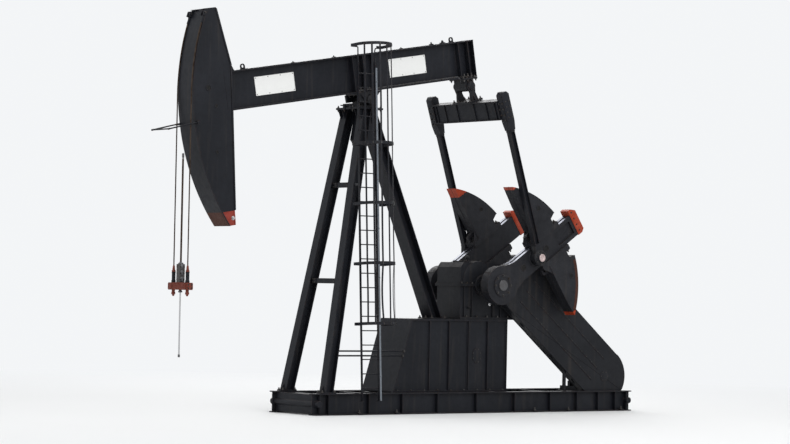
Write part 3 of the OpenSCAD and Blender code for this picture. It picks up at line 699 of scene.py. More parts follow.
NODE_LOOKS = {
    "frame_paint": ("skid_runners", "skid_cross_members", "pedestal", "tie_rails", "front_leg_near",
                    "front_leg_far", "rear_leg", "post_gusset", "post_bars", "post_cap", "ladder",
                    "ladder_brackets", "cage_hoops", "cage_bars", "walking_beam", "horsehead",
                    "rope_guide", "equalizer", "pitman_near", "pitman_far"),
    "machine_paint": ("gear_reducer", "belt_guard", "motor", "brake", "centre_bearing", "beam_saddle",
                      "lifting_eyes", "tail_bearing", "equalizer_yoke", "wrist_bearings"),
    "casting_paint": ("crank_near", "crank_far"),
    "weight_paint": ("weight_near_upper", "weight_near_lower", "weight_far_upper", "weight_far_lower"),
    "red_paint": ("head_tip",),
    "orange_paint": ("crank_caps",),
    "carrier_paint": ("carrier_bar",),
    "plate_enamel": ("name_plates",),
    "rope_steel": ("head_ropes", "hanger_ropes"),
    "shaft_steel": ("crankshaft",),
    "bolt_steel": ("rod_clamp",),
    "rod_steel": ("polished_rod",),
}


class UNIT_OT_frame_finish(bpy.types.Operator):
    """Give every plain frame node its finish"""

    bl_idname = "unit.frame_finish"
    bl_label = "Frame Finishes"

    def execute(self, context):
        for finish, names in NODE_LOOKS.items():
            for name in names:
                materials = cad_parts[name].data.materials
                materials.clear()
                materials.append(look(finish))
        return {"FINISHED"}


class UNIT_OT_ropes(bpy.types.Operator):
    """Lay the two wire ropes over the head and down to the carrier"""

    bl_idname = "unit.ropes"
    bl_label = "Wire Ropes"

    def execute(self, context):
        low, high, steps = 2.90, 6.7495, 300
        hanging = Shape()
        for side in BOTH:
            hanging.rope([(ROD_X, side * ROPE_Y, low + (high - low) * i / steps) for i in range(steps + 1)])
        hanging = hanging.done("wire_ropes_hanging", "rope_steel", None, smooth=60)
        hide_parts("hanger_ropes")
        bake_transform(hanging)
        over, steps = Shape(BEAM), 130
        on_face = arc((0, 0), FACE_RADIUS, FACE_TOP, 170.25, steps)
        # over its lowest two fifths the rope leaves the face by 10 mm, to meet the hanging rope
        start, gap = 0.6, 0.00217
        leave = [1 + gap * (max(0, i / steps - start) / (1 - start)) ** 2 for i in range(steps + 1)]
        for side in BOTH:
            over.rope([(x * far, side * ROPE_Y, z * far) for (x, z), far in zip(on_face, leave)])
        over = over.done("wire_ropes_on_head", "rope_steel", None, smooth=60)
        x, z = on_face[0]
        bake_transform(over)
        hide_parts("head_ropes")
        return {"FINISHED"}


class UNIT_OT_rope_anchors(bpy.types.Operator):
    """Anchor the ropes at the head's top with sockets, a cross pin and cheek plates"""

    bl_idname = "unit.rope_anchors"
    bl_label = "Rope Anchors"

    def execute(self, context):
        start = math.radians(151.2)
        out = Vector((math.cos(start), 0, math.sin(start)))
        down = Vector((math.sin(start), 0, -math.cos(start)))
        anchor, pins = Shape(BEAM), []
        socket = [(0, 0.017), (0.004, 0.021), (0.10, 0.021), (0.13, 0.028), (0.19, 0.028), (0.20, 0.02)]
        # corners of a cheek plate: along the rope, and out from the face
        cheek = ((-0.02, 0), (-0.02, 0.07), (0.09, 0.07), (0.13, 0))
        for rope in BOTH:
            foot = out * FACE_RADIUS + Vector((0, rope * ROPE_Y, 0))
            anchor.turned(foot - down * 0.17, down, socket, 16)
            back = foot - out * 0.012
            for side in BOTH:
                low = back + Vector((0, side * 0.045, 0)) - out * 0.004
                ring = [low + down * a + out * o for a, o in cheek]
                anchor.loft([[p + Vector((0, t, 0)) for p in ring] for t in (-0.008, 0.008)])
                pins.append((low + down * 0.05 + out * 0.035 + Vector((0, side * 0.008, 0)), (0, side, 0)))
            hub = back + down * 0.05 + out * 0.031
            anchor.rod(hub - Vector((0, 0.06, 0)), hub + Vector((0, 0.06, 0)), 0.02, 16)
        anchor.done("rope_anchors", "frame_paint", "beam", 0.002)
        bolts("rope_anchor_pins", pins, "beam", 0.017, BEAM)
        return {"FINISHED"}


class UNIT_OT_carrier(bpy.types.Operator):
    """Fit the carrier bar with sockets, clamp halves, keeper plates and the rod's ends"""

    bl_idname = "unit.carrier"
    bl_label = "Carrier And Clamp"

    def execute(self, context):
        place = Matrix.Translation((ROD_X, 0, 2.66))
        bar, sleeves, clamp = Shape(place), Shape(place), Shape(place)
        shell = arc((0, 0), 0.068, 20, 160, 8)
        for side in BOTH:
            y, end = ROPE_Y * side, 0.352 * side
            bar.turned((0, y, 0.292), UP, [(0, 0.037), (0.012, 0.041), (0.03, 0.041), (0.04, 0.03),
                                           (0.12, 0.022), (0.135, 0.0165)], 20)
            bar.turned((0, y, -0.205), UP, [(0, 0.016), (0.012, 0.024), (0.03, 0.024), (0.04, 0.042),
                                            (0.075, 0.042), (0.085, 0.036)], 20)
            bar.block((-0.082, y - 0.055, -0.065), (0.082, y + 0.055, 0.065))
            bar.block((-0.076, end - 0.006, -0.06), (0.076, end + 0.006, 0.06))
            sleeves.turned((0, y, 0.068), UP, [(0, 0.044), (0.02, 0.047), (0.05, 0.047), (0.056, 0.039),
                                               (0.20, 0.039), (0.206, 0.043), (0.225, 0.043)], 24)
            for z in (0.085, 0.215, 0.345):
                clamp.loft([[(x, side * (0.006 + out), z + h) for x, out in shell] for h in (0.0, 0.104)])
        bar.block((-0.08, -0.10, 0.06), (0.08, 0.10, 0.079))
        bar.done("carrier_fittings", "carrier_paint", "hanger", 0.003)
        sleeves.done("rope_sockets", "machine_paint", "hanger", 0.002)
        clamp.turned((0, 0, 0.45), UP, [(0, 0.05), (0.006, 0.055), (0.03, 0.055), (0.036, 0.03),
                                        (0.06, 0.024)], 24)
        clamp.turned((0, 0, -0.13), UP, [(0, 0.03), (0.006, 0.043), (0.03, 0.043), (0.036, 0.03),
                                         (0.056, 0.03)], 24)
        clamp.done("rod_clamp_halves", "shaft_steel", "hanger", 0.003)
        spots = [((x, side * 0.0625, z), (0, side, 0))
                 for z in (0.137, 0.267, 0.397) for x in (-0.044, 0.044) for side in BOTH]
        spots += [((x, side * 0.358, z), (0, side, 0))
                  for side in BOTH for z in (-0.035, 0.035) for x in (-0.04, 0.04)]
        bolts("carrier_bolts", spots, "hanger", 0.013, place, seed=5, stud=1.0)
        rod, grease = Shape(), Shape()
        rod.turned((ROD_X, 0, 5.30), UP, [(0, 0.016), (0.004, 0.024), (0.09, 0.024), (0.094, 0.016)], 20)
        rod.turned((ROD_X, 0, 1.2), UP, [(0, 0.019), (0.003, 0.023), (0.055, 0.023), (0.06, 0.017)], 20)
        rod.done("rod_ends", "shaft_steel", "hanger")
        grease.turned((ROD_X, 0, 3.17), UP, [(0, 0.0195), (0.01, 0.0202), (2.10, 0.0202), (2.12, 0.0195)], 20)
        grease.done("rod_grease", "rope_steel", "hanger", smooth=60)
        return {"FINISHED"}


class UNIT_OT_head(bpy.types.Operator):
    """Trim the head: seams, edge bars, hole rims round dark discs of painted shade, stop lugs, closing
    plates, tip bolts, the tip's paint and the painted shade on the front of the tip
    """

    bl_idname = "unit.head"
    bl_label = "Head Trim"

    def execute(self, context):
        seams, trim, hole_shades, edge, face = (Shape(BEAM) for _ in range(5))
        weld = sizes().weld
        # seams on the side plates, each with its share of the usual bead
        top, upper, lower, tip = (-3.706, 2.35), (-3.501, 1.12), (-3.601, 0.184), (-3.836, -1.86)
        face_seam = arc((0, 0), 4.571, 150.2, 207.3, 70)
        splice = ((-3.696, 0.19), (-3.696, 1.005))
        runs = ((1.0, face_seam), (0.8, (top, upper)), (0.8, (lower, tip)), (0.8, (upper, lower)),
                (0.7, ((-4.02, 2.349), (-3.706, 2.349))), (0.9, ((-4.17, -1.862), (-3.836, -1.862))),
                (0.7, splice))
        for side in BOTH:
            for size, run in runs:
                seams.follow([(x, side * 0.23, z) for x, z in run], weld * size, 8)
        seams.done("head_seams", "weld_paint", "beam", smooth=60)
        # edge bars along the side plates' free edges
        corners = [Vector(p) for p in ((-3.72, 2.33), (-3.515, 1.12), (-3.614, 0.184), (-3.849, -1.86))]
        # the lifting hole and the two drain holes: place, radius of the rim, radius of its bar
        rims = ((-4.12, 0.72, 0.058, 0.010), (-3.98, 0.33, 0.035, 0.007), (-4.1, -0.62, 0.035, 0.007))
        for side in BOTH:
            for a, b in zip(corners, corners[1:]):
                run = (b - a).normalized()
                off = Vector((-run.y, run.x)) * 0.034
                trim.slab([a, b, b + off, a + off], side * 0.229, side * 0.246)
            for x, z, radius, thick in rims:
                trim.ring((x, side * 0.231, z), radius, thick)
        # the stop lugs where the head sits on the beam's top flange
        trim.slab([(-3.50, 1.010), (-3.30, 1.010), (-3.33, 1.085), (-3.44, 1.105), (-3.52, 1.105)],
                  -0.035, 0.035)
        for side in BOTH:
            trim.slab([(-3.50, 1.010), (-3.36, 1.010), (-3.50, 1.16)], side * 0.10, side * 0.125)
        # closing plates on both sides of the top edge's notch
        for side in BOTH:
            trim.slab([(-4.0, 2.336), (-3.715, 2.336), (-3.715, 2.352), (-4.0, 2.352)],
                      side * 0.05, side * 0.232)
        trim.done("head_trim", "frame_paint", "beam", 0.003)
        # painted shade: a flat dark disc stands in each lifting and drain hole, in place of the shade inside
        # it
        for side in BOTH:
            for x, z, radius, _ in rims:
                hole_shades.rod((x, side * 0.20, z), (x, side * 0.2325, z), radius - 0.004, 24)
        hole_shades.done("head_hole_shades", "rubber", "beam", slot="frame_paint")
        bolts("head_tip_bolts", [((-3.905, side * 0.23, -2.02), (0, side, 0)) for side in BOTH],
              "beam", 0.032, BEAM, seed=8, finish="rod_steel")
        for side in BOTH:
            y0, y1 = side * 0.229, side * 0.243
            edge.slab([(-3.868, -1.87), (-3.842, -1.87), (-3.862, -2.168), (-3.888, -2.168)], y0, y1)
            edge.slab([(-4.04, -2.17), (-3.87, -2.17), (-3.87, -2.145), (-4.03, -2.145)], y0, y1)
        edge.done("head_tip_edges", "red_paint", "beam", 0.003)
        # painted shade: a dark brownish skin over the front of the face plate's red tip, where the red paint
        # faces away from the lamps
        face.slab(arc((0, 0), 4.5965, 203.95, 208.1, 10) + arc((0, 0), 4.592, 208.1, 203.95, 10),
                  -0.2845, 0.2845)
        face.done("head_tip_face_shade", "rim_rust", "beam", slot="red_paint")
        return {"FINISHED"}


class UNIT_OT_beam(bpy.types.Operator):
    """Add the beam's welds, grease lines, plate screws, saddle bolts and top fittings"""

    bl_idname = "unit.beam"
    bl_label = "Beam Fittings"

    def execute(self, context):
        s = sizes()
        low, high, top = WEB_LOW, WEB_HIGH, BEAM_TOP
        welds, rims, saddle, lines, grips, fit = (Shape(BEAM) for _ in range(6))
        for side in BOTH:
            for z in (low, high):
                welds.bead((-3.69, side * 0.0105, z), (3.11, side * 0.0105, z), 1.0, 8)
            for u in (-0.28, 0.0, 0.28, 2.675, 2.945):
                for x in (u - 0.0085, u + 0.0085):
                    for y, z, to_y, to_z in ((0.012, low, 0.012, high), (0.012, low, 0.142, low),
                                             (0.012, high, 0.142, high)):
                        welds.bead((x, side * y, z), (x, side * to_y, to_z), 0.7)
        welds.done("beam_welds", "weld_paint", "beam", smooth=60)
        # the bare plates' screws and folded rims
        plates = (-2.804, 0.78)
        spots = [((u + 0.03 + i * 0.32, side * 0.0162, z), (0, side, 0))
                 for side in BOTH for u in plates for i in range(4) for z in (0.44, 0.788)]
        bolts("plate_screws", spots, "beam", 0.0075, BEAM, seed=11, stud=0.2, slot="rod_steel")
        for side in BOTH:
            for u in plates:
                for x0, z0, x1, z1 in ((0, 0.414, 1.02, 0.424), (0, 0.804, 1.02, 0.814),
                                       (0, 0.424, 0.01, 0.804), (1.01, 0.424, 1.02, 0.804)):
                    rims.block((u + x0, side * 0.0155, z0), (u + x1, side * 0.0195, z1))
        rims.done("plate_rims", "plate_enamel", "beam", 0.0012)
        # heavy bolts through flange and saddle, and through flange and tail bearing
        rows = ((0.10, (-0.22, -0.12, 0.12, 0.22)), (0.11, (2.69, 2.78, 2.88, 2.98)))
        spots = [((u, side * y, low), UP) for side in BOTH for y, row in rows for u in row]
        bolts("beam_flange_bolts", spots, "beam", s.anchor, BEAM, seed=12, stud=1.2)
        spots = []
        for side in BOTH:
            for u in (-0.23, -0.12, 0.12, 0.23):
                spots += [((u, side * 0.180, 0.144), DOWN), ((u, side * 0.205, 0.184), UP)]
            for u in (2.67, 2.77, 2.90, 3.00):
                spots += [((u, side * 0.226, 0.148), DOWN), ((u, side * 0.200, 0.184), UP)]
        bolts("saddle_bolts", spots, "beam", 0.024, BEAM, seed=13, stud=1.0)
        # stiffening webs that flare from the saddle's cheeks
        for side in BOTH:
            for u, run in ((-0.14, -0.10), (0.05, 0.18), (0.0, 0.0)):
                foot, head = u + run * 0.3, u + run
                saddle.slab([(foot - 0.012, 0.02), (foot + 0.012, 0.02), (head + 0.014, 0.146),
                             (head - 0.014, 0.146)], side * 0.255, side * 0.282)
            saddle.turned((0, side * 0.265, 0), (0, side, 0), [
                (0, 0.108), (0.014, 0.108), (0.02, 0.1), (0.02, 0.05), (0.03, 0.046)], 36)
            saddle.turned((2.835, side * 0.199, 0), (0, side, 0), [(0, 0.119), (0.004, 0.119)], 36)
        saddle.done("saddle_ribs", "machine_paint", "beam", 0.003)
        # grease lines from the middle out along the near side's lower flange, on clips
        for z in (0.226, 0.242):
            lines.follow([(-0.2, -0.13, z), (1.2, -0.128, z), (2.55, -0.13, z), (2.59, -0.155, z - 0.02),
                          (2.612, -0.165, z - 0.06), (2.618, -0.16, z - 0.12), (2.66, -0.14, z - 0.15),
                          (2.72, -0.12, z - 0.155)], 0.0048, 8)
        lines.done("beam_grease_lines", "shaft_steel", "beam", smooth=60)
        for u in [-0.05 + i * 0.36 for i in range(8)]:
            grips.block((u - 0.012, -0.142, 0.2135), (u + 0.012, -0.117, 0.251))
        grips.done("grease_line_clips", "bolt_steel", "beam", 0.002)
        # fittings on the top flange: place, width and height
        for u, y, w, h in ((2.02, -0.02, 0.07, 0.055), (2.33, -0.03, 0.11, 0.06), (1.18, 0.0, 0.05, 0.03),
                           (-1.75, 0.0, 0.05, 0.03), (-0.62, 0.06, 0.06, 0.035)):
            fit.block((u - w / 2, y - 0.04, top - 0.002), (u + w / 2, y + 0.04, top + h * 0.35))
            fit.turned((u, y, top + h * 0.3), UP, [(0, w * 0.30), (h * 0.3, w * 0.30), (h * 0.45, w * 0.2),
                                                   (h * 0.75, w * 0.2), (h * 0.85, w * 0.1)], 16)
        # welds of the lifting eyes
        for u in (-2.996, 2.6):
            for y in (0.018, -0.018):
                fit.bead((u - 0.06, y, top), (u + 0.06, y, top), 1.0, 8)
        fit.done("beam_top_fittings", "machine_paint", "beam", 0.002)
        return {"FINISHED"}


class UNIT_OT_guide(bpy.types.Operator):
    """Fit the rope guide with corner collars, clamps at the head and lugs that brace it"""

    bl_idname = "unit.guide"
    bl_label = "Rope Guide"

    def execute(self, context):
        guide, spots = Shape(GUIDE), []
        for side in BOTH:
            y = side * 0.31
            guide.turned((-0.69, y, 0), ALONG_X,
                         [(0, 0.012), (0.006, 0.019), (0.05, 0.019), (0.056, 0.0152)], 14)
            guide.block((0.03, y - 0.028, -0.024), (0.105, y + 0.018, 0.024))
            # flat lugs that brace the bars against the face
            guide.slab([(-0.16, -0.006), (-0.02, -0.03), (0.0, -0.03), (0.0, 0.006), (-0.16, 0.006)],
                       side * 0.284, side * 0.297)
            spots += [((0.068, y, 0.024), UP), ((0.068, y, -0.024), DOWN)]
        guide.done("rope_guide_fittings", "frame_paint", "beam", 0.0015)
        bolts("rope_guide_bolts", spots, "beam", 0.014, GUIDE, seed=21)
        return {"FINISHED"}


def along(p, q):
    """A local frame at p whose Z axis runs towards q."""
    p, q = Vector(p), Vector(q)
    d = q - p
    return (Matrix.Translation(p) @ Matrix.Rotation(math.atan2(d.x, d.z), 4, "Y")
            @ Matrix.Rotation(-math.asin(d.y / d.length), 4, "X"))


class UNIT_OT_post(bpy.types.Operator):
    """Bolt the post together: foot plates, cap bolts, bearing cap, adjusting screws and bar clips"""

    bl_idname = "unit.post"
    bl_label = "Post Fittings"

    def execute(self, context):
        fit, spots, heavy = Shape(), [], []
        for side in BOTH:
            y = side * LEG_FOOT.y
            fit.block((-1.56, y - 0.10, 0.459), (-1.18, y + 0.10, 0.484))
            heavy += [((x, y + off, 0.484), UP) for x in (-1.53, -1.21) for off in (-0.072, 0.072)]
            # gusset fins from the foot plate to the leg
            fit.slab([(-1.545, 0.484), (-1.47, 0.484), (-1.45, 0.62)], y - 0.008, y + 0.008)
            fit.slab([(-1.265, 0.484), (-1.19, 0.484), (-1.245, 0.62)], y - 0.008, y + 0.008)
        # rear leg's foot on the pedestal
        fit.block((1.80, -0.25, 2.049), (2.22, 0.25, 2.074))
        heavy += [((x, y, 2.074), UP) for x in (1.83, 2.19) for y in (-0.215, 0.0, 0.215)]
        for y in (-0.12, 0.12):
            fit.slab([(2.12, 2.074), (2.21, 2.074), (2.07, 2.24)], y - 0.007, y + 0.007)
        # post cap: bolts down into the gusset, and the screws that line the bearing up
        for x in (-0.405, 0.18):
            for y in (-0.37, -0.15, 0.15, 0.37):
                heavy += [((x, y, 6.58), UP), ((x, y, 6.54), DOWN)]
        for side in BOTH:
            y = side * 0.11
            fit.block((-0.455, y - 0.035, 6.545), (-0.425, y + 0.035, 6.66))
            fit.turned((-0.54, y, 6.622), ALONG_X, [(0, 0.010), (0.004, 0.013), (0.14, 0.013)], 12)
            fit.block((0.219, y - 0.035, 6.545), (0.245, y + 0.035, 6.65))
            fit.turned((0.199, y, 6.602), ALONG_X, [(0, 0.013), (0.11, 0.013), (0.114, 0.010)], 12)
            spots += [((-0.455, y, 6.622), (-1, 0, 0)), ((0.245, y, 6.602), (1, 0, 0))]
            # bearing cap flanges
            heavy += [((x, side * y, 6.624), UP) for x in (-0.24, 0.155) for y in (0.075, 0.16)]
            # the housing's end faces: a ring of screws round each seal
            spots += bolt_ring((0, side * 0.2, PIVOT_HEIGHT), side, 0.086, 6)
        # triangular fins under the cap along both legs
        for side in BOTH:
            for y in (side * 0.225, side * 0.355):
                fit.slab([(-0.285, 6.541), (-0.425, 6.541), (-0.345, 6.34), (-0.325, 6.34)],
                         y - 0.007, y + 0.007)
        # clips on the level bars
        for z in (2.835, 4.9):
            share = (z - LEG_FOOT.z) / (LEG_TOP.z - LEG_FOOT.z)
            x, half = LEG_FOOT.lerp(LEG_TOP, share)[:2]
            for side in BOTH:
                outer, inner = side * (half - 0.02), side * (half - 0.24)
                for off in (0.04, -0.05):
                    fit.block((x + off, outer, z - 0.05), (x + off + 0.01, inner, z + 0.05))
                for off in (0.135, 0.205):
                    for dz in (-0.03, 0.03):
                        y = side * (half - off)
                        spots += [((x - 0.05, y, z + dz), (-1, 0, 0)), ((x + 0.05, y, z + dz), (1, 0, 0))]
        fit.done("post_fittings", "frame_paint", "frame", 0.003)
        bolts("post_heavy_bolts", heavy, "frame", 0.024, seed=31, stud=1.1)
        bolts("post_bolts", spots, "frame", 0.015, seed=32, stud=0.8)
        # the legs' welds: name, ends of the leg, half width, and where the welds start and end
        mirror = Vector((1, -1, 1))
        for name, foot, top, half, low, high in (
                ("leg_welds_near", LEG_FOOT * mirror, LEG_TOP * mirror, 0.0885, 0.08, 6.08),
                ("leg_welds_far", LEG_FOOT, LEG_TOP, 0.0885, 0.08, 6.08),
                ("rear_leg_welds", (2.01, 0, 2.05), (0.075, 0, 6.54), 0.1065, 0.1, 4.75)):
            weld = Shape(along(foot, top))
            for x in (-half, half):
                for y in (-0.011, 0.011):
                    weld.bead((x, y, low), (x, y, high), 0.8)
            weld.done(name, "weld_paint", "frame", smooth=60)
        # bearing housing: ribs and a grease nipple
        hub = Shape(Matrix.Translation((0, 0, PIVOT_HEIGHT)))
        for x in (-0.15, 0.15):
            for y in (-0.12, 0.0, 0.12):
                hub.slab([(x, -0.126), (x * 0.66, -0.126), (x * 0.66, -0.04)], y - 0.011, y + 0.011)
        hub.turned((0, 0, 0.11), UP, [(0, 0.016), (0.02, 0.016), (0.022, 0.009), (0.04, 0.007),
                                      (0.044, 0.004)], 12)
        hub.done("centre_bearing_ribs", "machine_paint", "frame", 0.003)
        return {"FINISHED"}


class UNIT_OT_ladder(bpy.types.Operator):
    """Fit the ladder: bent cage bars, joint bolts, feet, handrails, grip rungs and the pale cable duct"""

    bl_idname = "unit.ladder"
    bl_label = "Ladder And Cage"

    def execute(self, context):
        spots = self.cage_bars()
        spots += [((side * off, 0.0, z + HOOP_WIDTH / 2), ALONG_Y) for z in HOOPS for side in BOTH
                  for off in (0.27 if side < 0 else 0.33, 0.37)]
        bolts("cage_bolts", spots, "frame", 0.0085, LADDER, seed=41, stud=0.6)
        rails, grips, duct, straps = (Shape(LADDER) for _ in range(4))
        rungs = [RUNG_FOOT + i * RUNG_STEP for i in range(RUNGS)]
        for z in rungs:
            for x in (-0.237, 0.231):
                rails.turned((x, 0, z), ALONG_X, [(0, 0.016), (0.006, 0.016)], 14)
            grips.follow([(-0.218 + 0.436 * k / 60, 0, z) for k in range(61)], 0.0128, 10, 5, 0.0016, 14)
        for side in BOTH:
            x = side * 0.225
            rails.block((x - 0.03, -0.05, -0.163), (x + 0.03, 0.05, -0.15))
            # handrail returns above the landing
            rails.follow([(x, -0.018, 6.99), (x, -0.018, 7.33), (x * 1.04, -0.03, 7.38),
                          (x * 1.2, -0.03, 7.39)], 0.014, 10)
        rails.done("ladder_fittings", "frame_paint", "frame", 0.0015)
        grips.done("ladder_rung_grips", "frame_paint", "frame", smooth=50)
        duct.block((0.2305, -0.0265, -0.16), (0.2830, 0.0265, 6.952))
        duct.done("cable_duct", "grey_paint", "frame", 0.004)
        strap_feet = [0.35 + i * 1.05 for i in range(7)]
        for low, high in [(z, z + 0.035) for z in strap_feet] + [(6.945, 6.966)]:
            straps.block((0.2295, -0.0295, low), (0.2855, 0.0295, high))
        straps.done("cable_duct_straps", "grey_paint", "frame", 0.002)
        screws = [((0.257, -0.0295, z + 0.0175), (0, -1, 0)) for z in strap_feet]
        bolts("cable_duct_screws", screws, "frame", 0.007, LADDER, seed=42, stud=0.2)
        return {"FINISHED"}

    def cage_bars(self):
        """Makes the slightly bent bars and gives the spots of their bolts."""
        chance = random.Random(17)
        bars, spots, steps, bays = Shape(LADDER), [], 100, len(HOOPS)
        for angle in (28, 54, 80, 106, 132, 157):
            a = math.radians(angle)
            out = Vector((math.cos(a), -math.sin(a), 0))
            flat = Vector((math.sin(a), math.cos(a), 0))
            # how far the bar is bent inwards and sideways in its lowest bay
            bend = {54: (0.030, 0.016), 106: (0.024, -0.020)}.get(angle, (0.003, 0.004))
            sway = [chance.uniform(-0.004, 0.004) for _ in HOOPS]
            rings = []
            for i in range(steps + 1):
                z = HOOPS[0] + (CAGE_TOP - HOOPS[0]) * i / steps
                bay = max(k for k in range(bays) if HOOPS[k] <= z + 1e-6)
                push, drift = bend if bay == 0 else (sway[bay], sway[(bay + 2) % bays])
                belly = 0.0
                if bay < bays - 1:
                    foot, top = HOOPS[bay] + HOOP_WIDTH, HOOPS[bay + 1]
                    belly = math.sin(math.pi * min(1, max(0, (z - foot) / (top - foot))))
                c = Vector((0, CAGE_Y, z)) + out * (CAGE_REACH - push * belly) + flat * drift * belly
                rings.append([c + out * p + flat * q for p, q in
                              ((-0.004, -0.02), (0.004, -0.02), (0.004, 0.02), (-0.004, 0.02))])
            bars.loft(rings)
            spots += [(Vector((0, CAGE_Y, z + dz)) + out * 0.4, out) for z in HOOPS for dz in (0.018, 0.046)]
        bars = bars.done("cage_bars_bent", "frame_paint", "frame", 0.0012, smooth=50)
        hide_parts("cage_bars")
        return spots


class UNIT_OT_base(bpy.types.Operator):
    """Fit the skid and the pedestal: welds, hold-down bolts, pull pipes, hand hole covers and rail clips"""

    bl_idname = "unit.base"
    bl_label = "Skid And Pedestal"

    def execute(self, context):
        s = sizes()
        welds, fit, covers = Shape(), Shape(), Shape()
        for side in BOTH:
            # the pedestal's wall with its five ribs, each 24 mm thick
            wall, front, back = side * 0.443, 1.02, 3.78
            for i in range(1, 6):
                rib = front + i * (back - front - 0.024) / 5
                for x in (rib - 0.003, rib + 0.027):
                    welds.bead((x, wall, 0.49), (x, wall, 2.01))
                    welds.bead((x, wall, 2.008), (x, side * 0.478, 2.008), 0.8)
            welds.bead((0.60, wall, 0.492), (back, wall, 0.492))
            welds.bead((front + 0.02, wall, 2.007), (back, wall, 2.007))
            welds.bead((0.556, side * 0.441, 0.49), (1.052, side * 0.441, 2.01))
            for z in (0.026, 0.434):
                for y in (0.711, 0.729):
                    welds.bead((-1.74, side * y, z), (7.24, side * y, z), 0.8)
        welds.done("base_welds", "weld_paint", "frame", smooth=60)
        spots, heavy, screws = [], [], []
        for side in BOTH:
            spots += [((0.72 + i * 0.37, side * 0.463, 0.49), UP) for i in range(9)]
            # hold-down clamps on the runners' outer flanges
            for x in (-0.55, 0.45, 4.35, 5.35, 6.95):
                fit.block((x - 0.05, side * 0.765, 0.024), (x + 0.05, side * 0.845, 0.044))
                fit.block((x - 0.05, side * 0.822, 0.0), (x + 0.05, side * 0.85, 0.03))
                heavy.append(((x, side * 0.80, 0.044), UP))
            # stiffeners between the flanges of the runners
            for x in (-1.6, -1.37, -0.3, 0.6, 1.567, 2.662, 3.756, 4.8, 5.6, 6.24, 6.76, 7.1):
                fit.block((x - 0.006, side * 0.727, 0.024), (x + 0.006, side * 0.814, 0.436))
        # pull pipes across both ends
        for x in (-1.64, 7.14):
            fit.rod((x, -0.86, 0.24), (x, 0.86, 0.24), 0.07, 28, 0.006)
            for side in BOTH:
                fit.ring((x, side * 0.735, 0.24), 0.074, 0.009)
        # rail clips, which follow the pedestal's sloping front
        for z in (1.25, 1.35):
            x = 0.735 + (z - 1.25) * 0.3
            fit.block((x, -0.572, z - 0.03), (x + 0.065, -0.528, z + 0.03))
            spots.append(((x + 0.03, -0.572, z), (0, -1, 0)))
        fit.done("base_fittings", "frame_paint", "frame", 0.003)
        # hand hole covers: one on the pedestal's near side and two on its far side
        middle, wide, tall, rim = 1.25, 0.11, 0.15, 0.02
        turns = [math.pi * k / 16 for k in range(32)]
        for side, x in ((-1, 2.935), (1, 2.39), (1, 2.935)):
            covers.slab([(x + (wide + rim) * math.cos(t), middle + (tall + rim) * math.sin(t))
                         for t in turns], side * 0.439, side * 0.449)
            screws += bolt_ring((x, side * 0.449, middle), side, wide, 8, 0.39, tall / wide)
        covers.done("pedestal_hand_hole_covers", "frame_paint", "frame", 0.002)
        bolts("base_bolts", spots, "frame", s.bolt, seed=51)
        bolts("hold_down_bolts", heavy, "frame", s.anchor * 0.8, seed=52, stud=1.6)
        bolts("hand_hole_screws", screws, "frame", 0.009, seed=53)
        return {"FINISHED"}


def rough_edge(start, end, steps, depth, seed):
    """Points from start to end that wander by up to depth, as a brushed edge does."""
    chance = random.Random(seed)
    a, b = Vector(start), Vector(end)
    side = Vector((-(b - a).y, (b - a).x)).normalized()
    return [tuple(a + (b - a) * i / steps + side * (chance.uniform(-depth, depth) if 0 < i < steps else 0))
            for i in range(steps + 1)]


def fin_tip(low, seed, sign):
    """Outline of the painted tip of a fin, from the height low up, just outside the casting."""
    edge = 1.35 + (low - 1.22) * 0.06 - 0.0015
    out = arc((0, 0), 2.1855, 50.88, 50.88 - (1.694 - low) * 38, 12)
    ragged = rough_edge(out[-1], (edge, low), 14, 0.012, seed)
    outline = [(edge, low), (1.3768, 1.695)] + out[1:] + ragged[1:-1]
    return [(x, sign * z) for x, z in outline]


